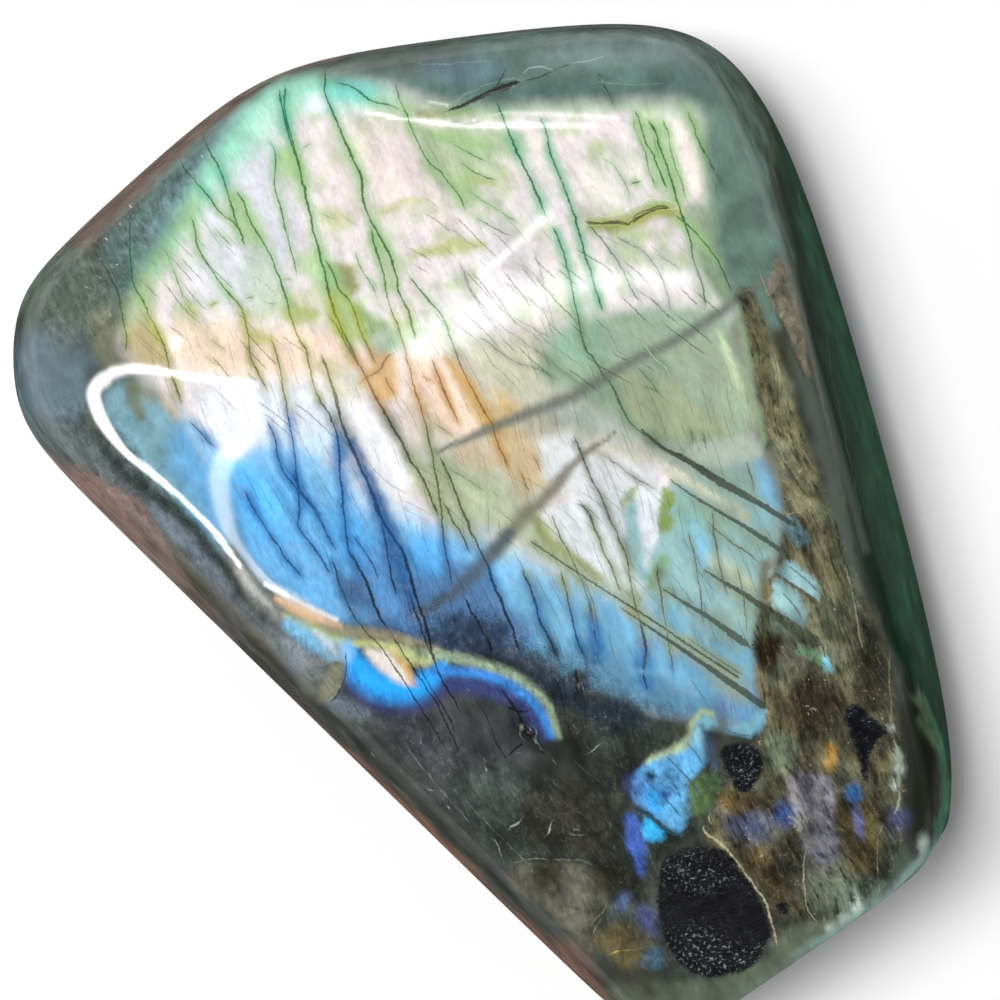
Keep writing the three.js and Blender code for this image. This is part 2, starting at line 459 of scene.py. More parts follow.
BEVEL_MARKS = [
    area("top bevel", GREEN_GREY, 0.95, 8, 4,
         [(225, 80), (300, 55), (420, 30), (560, 10), (680, 10), (740, 50), (770, 110), (785, 200),
          (800, 290), (790, 330), (740, 330), (712, 280), (700, 180), (690, 112), (560, 128),
          (430, 110), (330, 84), (262, 92)]),
    area("top bevel dark left", (88, 96, 88), 0.8, 14, 8,
         [(260, 80), (300, 60), (360, 44), (440, 34), (480, 40), (440, 70), (360, 72), (300, 74)]),
    # painted pale reflection on the top bevel
    area("painted pale reflection on the top bevel", PALE_REFLECTION_GREY, 0.35, 12, 8,
         [(520, 50), (580, 34), (660, 34), (710, 50), (700, 64), (640, 66), (560, 62)]),
    area("blue of the top bevel", (96, 122, 140), 0.6, 12, 6,
         [(420, 60), (490, 56), (510, 66), (480, 84), (430, 80)]),
    area("top rim", (58, 62, 58), 0.8, 7, 4,
         [(300, 30), (420, 10), (560, 0), (680, 0), (740, 30), (720, 46), (680, 36), (560, 30),
          (440, 42), (330, 62), (290, 66)]),
    band("top bevel foot", (84, 112, 104), 0.7, 0.8, 5,
         [(440, 92), (560, 92), (680, 84), (735, 120)], [8, 12, 14, 12]),
    area("right band", (102, 130, 118), 0.85, 12, 4,
         [(700, 90), (750, 90), (772, 150), (778, 220), (782, 300), (760, 330), (735, 310),
          (712, 250), (704, 150)]),
    area("dark corner", (82, 108, 94), 0.8, 12, 6,
         [(700, 40), (745, 60), (772, 120), (775, 160), (745, 130), (720, 90)]),
    area("upper left bevel", (88, 112, 106), 0.9, 12, 5,
         [(228, 92), (262, 84), (240, 128), (190, 200), (155, 265), (122, 300), (100, 330),
          (86, 300), (100, 240), (150, 170)]),
    area("haze of the upper left", (116, 150, 152), 0.85, 13, 5,
         [(196, 158), (222, 128), (246, 108), (252, 124), (226, 156), (202, 190), (176, 226),
          (154, 262), (136, 292), (126, 286), (140, 240), (166, 196)]),
    # painted reflection of skin along the upper left rim
    band("painted skin reflection on the upper left rim", RIM_SKIN_REFLECTION, 0.9, 0.6, 3,
         [(62, 252), (100, 215), (165, 153), (235, 98), (290, 66), (330, 56)], [12, 15, 13, 9, 8, 6]),
    area("nose top", (86, 98, 88), 0.9, 10, 8,
         [(20, 250), (70, 240), (110, 262), (122, 300), (110, 330), (70, 345), (20, 340)]),
    area("nose olive", (118, 120, 98), 0.85, 11, 5,
         [(92, 306), (124, 312), (132, 372), (108, 372), (88, 344)]),
    area("nose steel", STEEL, 0.9, 14, 6,
         [(15, 335), (60, 322), (92, 350), (90, 400), (80, 425), (40, 430), (15, 410)]),
    area("nose foot", (92, 104, 104), 0.9, 10, 6,
         [(15, 420), (70, 420), (120, 460), (140, 490), (110, 492), (60, 466), (20, 450)]),
    area("inside of the loop", (118, 158, 170), 0.95, 10, 4,
         [(108, 382), (150, 378), (182, 400), (215, 450), (222, 500), (235, 545), (215, 560),
          (170, 500), (124, 448), (104, 410)]),
    area("olive inside the loop", (124, 126, 98), 0.85, 10, 5,
         [(128, 376), (180, 376), (184, 400), (172, 404), (140, 398), (124, 390)]),
    band("olive streak inside the loop", (104, 110, 90), 0.9, 0.8, 3,
         [(134, 384), (133, 398), (140, 416)], [6, 7, 4]),
    band("tan streak inside the loop", (168, 152, 122), 0.9, 0.8, 3,
         [(164, 380), (166, 396), (174, 416)], [6, 6, 4]),
    area("blue inside the loop", (100, 166, 214), 0.9, 16, 5,
         [(168, 440), (188, 418), (206, 436), (214, 470), (222, 510), (232, 545), (205, 520),
          (176, 480)]),
    area("light by the painted glare wedge", (130, 196, 240), 0.8, 6, 3,
         [(180, 408), (190, 414), (208, 434), (222, 458), (214, 464), (198, 444)]),
    area("under the loop", (96, 104, 106), 0.85, 9, 6,
         [(110, 440), (175, 505), (250, 585), (300, 640), (300, 690), (250, 640), (190, 580),
          (140, 515), (96, 470)]),
    band("dark strip under the loop", (40, 50, 46), 0.9, 0.8, 4,
         [(104, 452), (129, 476), (156, 497), (191, 525), (215, 556), (239, 587), (262, 615)],
         [6, 8, 7, 6, 5, 6, 4]),
    band("steel strip under the loop", (106, 120, 134), 0.7, 0.9, 4,
         [(153, 510), (181, 538), (206, 570), (230, 600)], [5, 6, 6, 4]),
    band("olive strip", (74, 72, 56), 0.8, 0.9, 5,
         [(150, 530), (190, 572), (235, 622), (290, 680)], [6, 9, 10, 6]),
    band("dark end of the strip", (40, 38, 34), 0.9, 0.9, 5,
         [(190, 600), (240, 650), (290, 700), (340, 752)], [6, 12, 14, 10]),
    # painted reflection of skin along the tip rim and at the tip
    band("painted skin reflection on the tip rim", (118, 84, 66), 0.9, 0.6, 4,
         [(262, 684), (300, 716), (350, 760), (400, 807), (455, 861), (520, 928), (585, 994),
          (640, 1056)], [5, 7, 8, 8, 9, 11, 15, 17]),
    spot("painted red skin reflection at the tip", (122, 88, 74), 0.8, 0.8, 4, (572, 965), (20, 16), 50),
    area("dusk under the loop's foot", (84, 84, 82), 0.6, 10, 8,
         [(200, 590), (232, 604), (248, 636), (240, 652), (214, 630)]),
    area("dusk of the upper left", (90, 118, 102), 0.5, 9, 8,
         [(122, 252), (148, 232), (166, 244), (158, 278), (132, 290), (118, 276)]),
    area("olive of the nose", (82, 88, 78), 0.45, 9, 6,
         [(40, 322), (78, 322), (84, 350), (56, 362)]),
    area("dusk beside the arc", (80, 90, 98), 0.45, 7, 6,
         [(282, 644), (308, 650), (318, 678), (300, 682)]),
]
# A painted reflection of skin: the steep lower left facet shows pinkish brown, redder above and darker
# at its foot and its end.
SKIN_REFLECTION_FACET = [
    area("facet with painted skin reflection", (120, 102, 94), 0.95, 2, 1,
         [(30, 450), (62, 464), (100, 479), (136, 498), (150, 510), (158, 530), (174, 560),
          (200, 594), (226, 626), (250, 660), (266, 692), (240, 730), (180, 670), (110, 610),
          (40, 550), (0, 480)]),
    area("red of the facet", (136, 108, 98), 0.8, 14, 4,
         [(30, 450), (70, 466), (104, 482), (120, 500), (150, 560), (130, 600), (60, 560),
          (10, 480)]),
    area("dark foot of the facet", (62, 52, 46), 0.9, 14, 6,
         [(178, 580), (204, 606), (234, 644), (262, 684), (250, 720), (200, 680), (160, 630)]),
    area("dark end of the facet", (80, 78, 74), 0.75, 8, 5,
         [(198, 590), (224, 612), (248, 646), (240, 656), (214, 632)]),
]
FLASH_OUTLINE = [
    (262, 88), (300, 76), (345, 78), (400, 88), (440, 104), (480, 106), (560, 104), (640, 102),
    (690, 98), (704, 120), (706, 160), (709, 200), (715, 250), (726, 290), (739, 330), (749, 400),
    (756, 450), (774, 480), (788, 520), (780, 560), (764, 600), (759, 650), (768, 705),
    (748, 730), (700, 716), (660, 712), (640, 704), (600, 690), (560, 678), (520, 660),
    (480, 632), (440, 612), (400, 618), (350, 626), (300, 606), (262, 579), (238, 542),
    (226, 500), (208, 462), (186, 418), (160, 388), (130, 366), (118, 332), (124, 300),
    (150, 262), (180, 205), (228, 130)]
FLASH = area("flash", CLEAR, 1.0, 12, 3, FLASH_OUTLINE)
LEAFY = area("leafy part of the flash", CLEAR, 0.75, 24, 10,
             [(180, 205), (262, 92), (440, 106), (690, 100), (730, 290), (600, 310), (440, 380),
              (300, 380), (160, 350)])
FLASH_MARKS = [
    area("cold silver", COLD_SILVER, 0.8, 18, 12,
         [(200, 170), (262, 130), (290, 180), (300, 270), (240, 310), (180, 290)]),
    spot("warm silver right", (250, 238, 230), 0.9, 0.5, 8, (688, 160), (17, 34), -8),
    spot("bright silver right", (246, 240, 236), 0.9, 0.6, 8, (622, 184), (40, 26)),
    spot("warm silver middle", SHELL, 0.7, 0.8, 12, (390, 170), (70, 60)),
    spot("pale grey middle", (212, 208, 208), 0.6, 0.8, 14, (520, 240), (60, 30), 20),
    band("mint rim", MINT, 0.95, 0.9, 6,
         [(150, 264), (180, 206), (228, 132), (262, 92), (300, 84), (360, 92)],
         [12, 18, 26, 34, 26, 18]),
    band("leaf rim left", (154, 188, 134), 0.75, 0.9, 5,
         [(118, 318), (140, 280), (165, 240), (190, 200)], [18, 16, 14, 10]),
    area("aqua corner", (124, 216, 206), 0.9, 9, 5,
         [(322, 78), (350, 76), (378, 86), (396, 96), (384, 104), (356, 100), (330, 98)]),
    spot("white by the corner", (226, 234, 240), 0.8, 0.6, 5, (318, 104), (14, 10), -20),
    band("leaf rim top", (176, 206, 172), 0.7, 0.9, 5,
         [(380, 104), (430, 108), (520, 108), (640, 106), (690, 104)], [10, 9, 6, 7, 10]),
    band("leaf rim right", (172, 204, 158), 0.8, 0.9, 4,
         [(690, 108), (706, 140), (714, 180), (716, 215), (722, 270)], [12, 10, 10, 11, 9]),
    area("right leaf", (186, 214, 170), 0.7, 9, 7,
         [(628, 104), (664, 108), (676, 150), (690, 212), (668, 200), (650, 150), (636, 130)]),
    # Painted glare: white and pale grey where the polish mirrors the broad glare and the left wedge,
    # under the light sheets that mirror them too.
    area("painted glare bed", GLARE_WHITE, 0.4, 16, 6,
         [(300, 372), (330, 362), (400, 322), (450, 296), (520, 276), (600, 266), (690, 268),
          (704, 286), (640, 288), (590, 294), (540, 312), (470, 346), (400, 384), (330, 410)]),
    area("painted grey glare left", (222, 222, 226), 0.8, 12, 8,
         [(184, 384), (250, 380), (320, 380), (350, 400), (330, 430), (262, 440), (230, 452),
          (206, 424)]),
    area("warm middle", (188, 190, 158), 0.65, 20, 10,
         [(420, 340), (540, 322), (620, 380), (670, 440), (650, 480), (570, 470), (540, 520),
          (480, 510), (430, 470)]),
    area("gold corner", (186, 168, 110), 0.85, 9, 5,
         [(124, 322), (150, 316), (166, 336), (172, 372), (130, 366)]),
    area("peach left", PEACH, 0.9, 12, 7,
         [(160, 318), (240, 322), (330, 332), (380, 352), (330, 376), (240, 376), (172, 372)]),
    area("peach middle", PEACH, 1.0, 12, 6,
         [(400, 356), (436, 350), (462, 380), (484, 420), (476, 440), (452, 440), (426, 420),
          (406, 392)]),
    area("orange fissures", ORANGE, 0.9, 7, 6,
         [(352, 384), (366, 370), (392, 350), (402, 362), (400, 400), (388, 398), (372, 392)]),
    band("gold beside the crack", (214, 176, 104), 0.9, 0.8, 4,
         [(446, 356), (462, 380), (480, 408), (494, 430)], [3, 6, 9, 9]),
    area("gold by the bar", (216, 182, 122), 0.8, 9, 6,
         [(490, 382), (508, 386), (524, 410), (510, 424), (496, 416)]),
    area("gold below the bar", (204, 178, 128), 0.75, 10, 8,
         [(484, 436), (524, 426), (540, 456), (544, 490), (530, 500), (512, 484), (496, 460)]),
    area("brown below the bar", (206, 186, 156), 0.85, 7, 5,
         [(442, 452), (486, 436), (498, 462), (492, 480), (462, 466)]),
    area("beige over the sage", (204, 204, 178), 0.85, 14, 8,
         [(470, 352), (520, 328), (560, 338), (566, 380), (530, 400), (500, 396), (480, 376)]),
    area("grey below the bar", (178, 188, 180), 0.85, 12, 7,
         [(530, 414), (580, 392), (626, 380), (650, 410), (668, 446), (640, 452), (600, 440),
          (560, 430)]),
    area("mist", (178, 190, 156), 0.9, 14, 9,
         [(430, 456), (490, 470), (520, 500), (560, 530), (560, 560), (500, 540), (460, 516),
          (436, 486)]),
    area("olive mist", (186, 190, 150), 0.8, 10, 7,
         [(404, 452), (430, 462), (446, 490), (452, 520), (430, 510), (408, 480)]),
    area("white left of the wedge", (222, 226, 228), 0.9, 9, 7,
         [(534, 432), (566, 430), (590, 450), (640, 462), (662, 470), (655, 500), (620, 500),
          (590, 500), (550, 480)]),
    area("sage", SAGE, 0.95, 9, 3,
         [(545, 350), (590, 316), (640, 306), (706, 306), (728, 304), (746, 380), (758, 444),
          (690, 446), (650, 440), (612, 416), (570, 392), (534, 376)]),
    area("sage green", (142, 178, 152), 0.8, 12, 5,
         [(540, 330), (590, 308), (606, 340), (606, 372), (584, 360), (550, 356)]),
    area("olive sage", (160, 168, 134), 0.8, 12, 8,
         [(608, 376), (640, 366), (700, 400), (740, 440), (690, 444), (640, 426)]),
    area("pale sage", PALE_SAGE, 0.5, 14, 8,
         [(660, 330), (710, 320), (740, 390), (752, 440), (720, 420), (690, 380)]),
    band("edge light", (200, 216, 176), 0.8, 0.8, 2,
         [(720, 332), (737, 374), (751, 406), (761, 434), (768, 452)], [2, 4, 5, 6, 4]),
    area("green and blue right", (146, 190, 188), 0.95, 12, 9,
         [(664, 492), (700, 470), (760, 452), (788, 516), (772, 600), (762, 660), (700, 640),
          (640, 610), (640, 540)]),
    area("cream strip", (206, 206, 178), 0.8, 4, 3,
         [(665, 462), (690, 474), (727, 498), (756, 516), (750, 526), (720, 508), (690, 490),
          (666, 478)]),
    area("sky triangle", (128, 194, 232), 0.9, 5, 3,
         [(745, 462), (766, 452), (788, 516), (772, 508), (756, 490)]),
    area("green under the second bar", (142, 184, 164), 0.8, 9, 6,
         [(672, 492), (700, 508), (730, 530), (716, 548), (690, 540), (672, 520)]),
    spot("sky right", (130, 194, 226), 0.85, 0.7, 6, (706, 556), (14, 32), -28),
    spot("sky far right", (132, 196, 226), 0.7, 0.8, 6, (772, 530), (14, 20), -20),
    area("sand by the blue", (206, 212, 170), 0.8, 8, 5,
         [(714, 552), (744, 570), (760, 600), (750, 604), (722, 584), (706, 566)]),
    area("lower stripes", (190, 204, 186), 0.85, 12, 8,
         [(540, 540), (600, 566), (660, 600), (640, 612), (590, 590), (556, 572)]),
    area("grey blue above the pool", (160, 190, 192), 0.9, 16, 8,
         [(430, 510), (480, 530), (540, 560), (600, 590), (640, 610), (620, 625), (560, 600),
          (500, 575), (450, 550)]),
    area("wedge", (222, 227, 230), 0.98, 2.5, 1.5,
         [(545, 510), (572, 500), (600, 490), (640, 496), (664, 486), (659, 515), (658, 538),
          (645, 572), (640, 594), (632, 596), (612, 584), (584, 562), (556, 536)], sharp=True),
    area("teal in the wedge", (126, 176, 178), 0.85, 6, 5,
         [(622, 494), (634, 492), (642, 530), (648, 570), (642, 592), (628, 560), (622, 520)]),
    area("olive in the wedge", (150, 162, 112), 0.8, 2, 3,
         [(620, 502), (632, 486), (640, 484), (636, 498), (626, 510)], sharp=True),
    area("lime by the wedge", (132, 152, 80), 0.95, 2, 3,
         [(663, 486), (676, 494), (676, 504), (668, 512), (674, 520), (670, 532), (660, 534),
          (659, 510)], sharp=True),
    area("leaf below the wedge", (128, 166, 124), 0.85, 3, 5,
         [(658, 556), (670, 548), (674, 560), (664, 572), (658, 588), (646, 598), (650, 574)]),
    band("olive seam under the wedge", (146, 152, 96), 0.9, 0.8, 3,
         [(534, 520), (548, 540), (577, 560), (605, 582), (640, 600)], [5, 5, 4, 4, 3]),
    area("blue right", (112, 172, 196), 0.95, 14, 8,
         [(640, 606), (690, 600), (730, 626), (764, 650), (772, 704), (750, 726), (700, 690),
          (650, 650)]),
    area("beside the slanting edge", (150, 174, 142), 0.9, 5, 3,
         [(680, 210), (700, 198), (716, 222), (730, 272), (738, 306), (724, 306), (706, 272),
          (692, 236)]),
    area("sky pool", SKY, 0.95, 16, 8,
         [(190, 424), (206, 436), (234, 462), (262, 446), (290, 436), (312, 444), (340, 470),
          (366, 500), (400, 512), (450, 536), (520, 560), (580, 590), (640, 612), (700, 660),
          (766, 708), (748, 730), (700, 720), (640, 712), (560, 680), (480, 640), (400, 640),
          (300, 620), (240, 570), (205, 500)]),
    area("pool", BLUE, 0.9, 16, 9,
         [(226, 476), (250, 464), (290, 476), (330, 505), (370, 530), (420, 550), (480, 580),
          (540, 610), (560, 660), (480, 640), (400, 640), (300, 620), (250, 580), (226, 520)]),
    area("dusk end of the pool", DUSK_BLUE, 0.9, 16, 9,
         [(500, 570), (580, 596), (640, 626), (700, 664), (766, 708), (748, 730), (700, 720),
          (640, 712), (560, 680), (520, 650)]),
    spot("azure left", AZURE, 0.9, 0.8, 9, (256, 500), (22, 44), -32),
    spot("azure middle", AZURE, 0.85, 0.8, 8, (352, 540), (20, 40), -20),
    spot("azure right", AZURE, 0.95, 0.7, 8, (422, 560), (26, 28), 30),
    spot("azure of the second bar", (82, 170, 234), 0.8, 0.7, 6, (756, 706), (14, 18), 20),
    spot("violet in the end", (116, 134, 180), 0.7, 0.8, 5, (728, 706), (11, 14), 20),
    spot("pale blue top", PALE_BLUE, 0.9, 0.8, 9, (300, 436), (50, 16), 12),
    spot("pale blue middle", PALE_BLUE, 0.7, 0.8, 7, (378, 500), (12, 30), -24),
    area("snow", (242, 244, 248), 0.9, 8, 5,
         [(342, 404), (352, 396), (376, 420), (404, 456), (408, 486), (396, 496), (376, 474),
          (354, 434)]),
    # Painted glare: the white where the polish mirrors the left wedge of light, over the flash.
    area("painted glare wedge", (238, 241, 246), 0.9, 6, 3,
         [(190, 400), (210, 426), (232, 460), (243, 454), (256, 440), (270, 420), (262, 392),
          (225, 386)]),
    area("pale end of the wedge", (222, 230, 240), 0.8, 14, 6,
         [(256, 384), (330, 388), (344, 420), (306, 438), (262, 440), (246, 424)]),
]
STAINS = [
    area("olive of the cracks", (176, 174, 126), 0.55, 12, 8,
         [(322, 362), (356, 356), (370, 392), (352, 404), (328, 396)]),
    area("leaf by the slanting edge", (134, 160, 124), 0.8, 8, 4,
         [(690, 226), (704, 234), (722, 270), (734, 304), (718, 306), (702, 276)]),
    area("dusk under the bars", (62, 96, 120), 0.55, 14, 8,
         [(510, 640), (600, 650), (680, 686), (740, 712), (700, 724), (640, 710), (560, 684)]),
    area("stain between the cracks", (170, 206, 136), 0.8, 7, 5,
         [(226, 190), (240, 188), (256, 216), (266, 240), (256, 252), (244, 232), (234, 212)]),
    area("stain of the long crack", (168, 206, 140), 0.8, 7, 5,
         [(276, 150), (294, 144), (304, 164), (306, 184), (292, 182), (278, 176)]),
    spot("yellow stain", (206, 208, 156), 0.8, 0.7, 5, (336, 216), (16, 10), 20),
    area("pale green stain", (178, 208, 158), 0.85, 7, 5,
         [(303, 250), (324, 250), (336, 276), (338, 300), (322, 298), (308, 280)]),
    area("olive stain", OLIVE, 0.85, 5, 5,
         [(328, 262), (346, 266), (356, 264), (352, 280), (362, 284), (354, 296), (340, 302),
          (330, 288)]),
    area("sage stain", (162, 188, 132), 0.9, 6, 5,
         [(330, 298), (352, 296), (366, 310), (396, 324), (376, 336), (362, 342), (350, 344),
          (336, 330), (326, 312)]),
    area("green stain below", (132, 170, 118), 0.8, 5, 4,
         [(352, 300), (364, 308), (372, 322), (360, 326), (350, 314)]),
    area("lime stain left", LIME, 0.7, 6, 4,
         [(244, 330), (268, 330), (270, 344), (250, 344)]),
    area("lime stain", LIME, 0.8, 6, 4, [(286, 300), (300, 306), (320, 312), (316, 322), (292, 322)]),
    area("teal stain", (140, 190, 162), 0.8, 7, 4,
         [(372, 342), (396, 332), (404, 344), (392, 356), (376, 360)]),
    band("lime under the step", (152, 160, 82), 0.95, 0.8, 4,
         [(592, 226), (618, 226), (636, 220), (652, 213), (672, 212)], [3, 5, 6, 5, 4]),
    band("lime stain middle", (184, 194, 112), 0.85, 0.8, 4,
         [(412, 254), (436, 250), (458, 244), (482, 246)], [3, 5, 7, 3]),
    band("lime stain upper", (180, 194, 120), 0.8, 0.8, 4,
         [(456, 182), (474, 178), (498, 182)], [3, 5, 2]),
    band("green stain upper", (172, 204, 140), 0.8, 0.8, 5,
         [(428, 132), (456, 138), (480, 144), (500, 146)], [5, 8, 6, 2]),
    band("lime stain far left", (196, 204, 134), 0.7, 0.8, 4,
         [(382, 212), (404, 203), (420, 201)], [3, 4, 2]),
    band("olive by the top crack", (150, 150, 100), 0.8, 0.8, 4,
         [(420, 112), (444, 112), (470, 112)], [4, 5, 3]),
    band("lime by the slanting edge", (160, 180, 132), 0.4, 0.8, 4,
         [(676, 214), (700, 236), (716, 262)], [3, 5, 3]),
    area("green knot", (118, 152, 112), 0.6, 7, 8,
         [(366, 322), (392, 326), (402, 342), (398, 358), (380, 358), (366, 344)]),
    area("green of the branches", (146, 182, 126), 0.7, 10, 10,
         [(404, 116), (440, 120), (520, 128), (528, 152), (488, 164), (466, 164), (478, 190),
          (464, 210), (440, 194), (420, 164)]),
    area("olive of the left edge", (144, 162, 116), 0.5, 9, 8,
         [(126, 288), (150, 282), (162, 300), (154, 322), (134, 322), (124, 306)]),
    area("green of the upper left cracks", (166, 196, 150), 0.5, 10, 10,
         [(244, 240), (276, 242), (284, 300), (268, 322), (248, 300), (240, 268)]),
    area("green by the right edge", (124, 148, 116), 0.5, 8, 8,
         [(686, 238), (712, 244), (718, 280), (700, 286), (688, 266)]),
    area("olive by the green crack", (154, 170, 118), 0.5, 8, 8,
         [(568, 200), (598, 206), (600, 238), (582, 242), (566, 224)]),
    area("green over the sage", (166, 190, 174), 0.5, 8, 8,
         [(562, 288), (598, 286), (602, 316), (578, 322), (564, 308)]),
    area("tan left of the wedge", (148, 146, 118), 0.5, 9, 8,
         [(524, 406), (554, 402), (560, 430), (546, 442), (526, 434)]),
    area("grey by the thick bar", (104, 118, 100), 0.4, 7, 6,
         [(682, 448), (716, 446), (722, 470), (704, 478), (686, 466)]),
    area("olive right of the sage", (108, 124, 88), 0.5, 7, 6,
         [(728, 320), (748, 318), (754, 350), (746, 366), (732, 352)]),
    area("pale right end of the bars", (166, 210, 218), 0.5, 8, 6,
         [(686, 600), (716, 606), (722, 634), (704, 644), (684, 626)]),
    area("blue between the cracks", (78, 136, 174), 0.45, 8, 6,
         [(326, 440), (350, 438), (364, 470), (354, 486), (336, 476)]),
    area("cream right of the leaves", (222, 222, 204), 0.4, 8, 6,
         [(648, 166), (672, 164), (680, 196), (656, 200)]),
    area("sage left of the pool", (136, 152, 138), 0.4, 8, 6,
         [(566, 404), (596, 402), (602, 432), (574, 440)]),
    area("ochre under the bar", (146, 120, 62), 0.4, 9, 8,
         [(482, 398), (512, 404), (522, 438), (498, 442), (484, 424)]),
    area("pale foot of the wedge", (206, 228, 230), 0.5, 7, 6,
         [(604, 566), (632, 572), (640, 592), (620, 598), (602, 584)]),
    area("green of the left cracks", (160, 176, 112), 0.5, 9, 10,
         [(284, 286), (312, 282), (322, 300), (318, 326), (298, 328), (286, 310)]),
    area("tan between the wedges", (176, 164, 132), 0.55, 12, 10,
         [(404, 398), (432, 396), (446, 424), (440, 446), (416, 444), (402, 420)]),
    area("olive between the wedges", (128, 142, 116), 0.6, 12, 10,
         [(402, 444), (428, 440), (450, 462), (456, 490), (436, 500), (414, 486)]),
]
POOL_SHADES = [
    area("dusk of the pool", (80, 130, 186), 0.7, 16, 12,
         [(350, 560), (380, 548), (420, 566), (460, 560), (500, 590), (540, 640), (500, 650),
          (420, 640), (360, 620)]),
    area("navy end of the pool", (80, 114, 154), 0.78, 12, 10,
         [(400, 588), (430, 580), (452, 564), (484, 580), (506, 606), (536, 644), (500, 652),
          (440, 644), (408, 632)]),
    area("black end of the pool", (38, 48, 60), 0.8, 12, 14,
         [(420, 632), (444, 620), (480, 612), (500, 624), (540, 656), (600, 690), (650, 714),
          (640, 740), (560, 708), (500, 676), (440, 664), (412, 652)]),
    spot("shade in the pool", (60, 84, 120), 0.8, 0.8, 8, (352, 592), (12, 26), -30),
    band("shade beside the long crack", (36, 84, 136), 0.8, 0.9, 5,
         [(352, 440), (368, 480), (384, 516), (398, 560), (410, 600)], [3, 6, 8, 9, 8]),
    band("smoky bar", (108, 114, 106), 0.88, 0.9, 1,
         [(436, 452), (520, 416), (572, 396), (630, 362), (670, 343), (709, 320), (760, 284),
          (790, 270)], [2, 5, 6, 6, 5, 5, 5, 4]),
    band("lower smoky bar", (112, 110, 88), 0.85, 0.9, 1.5,
         [(490, 556), (520, 520), (546, 496), (577, 461), (600, 443), (616, 432)],
         [7, 8, 7, 6, 3, 1]),
    band("blue end of the lower smoky bar", (78, 92, 104), 0.85, 0.9, 1.5,
         [(416, 616), (450, 596), (490, 556), (510, 534)], [4, 7, 8, 6]),
    area("shade left of the brown", (128, 156, 148), 0.55, 9, 8,
         [(724, 444), (756, 446), (764, 466), (756, 484), (730, 476)]),
    area("pale green under the pool", (172, 190, 172), 0.8, 5, 4,
         [(690, 444), (730, 440), (762, 436), (768, 458), (730, 466), (692, 464)]),
    band("green beside the brown", (150, 172, 136), 0.8, 0.9, 4,
         [(736, 306), (744, 340), (750, 380), (757, 415), (764, 440)], [4, 5, 6, 5, 4]),
    area("dusk by the right arm", (48, 58, 62), 0.5, 8, 8,
         [(520, 646), (552, 650), (566, 676), (542, 680), (520, 666)]),
]
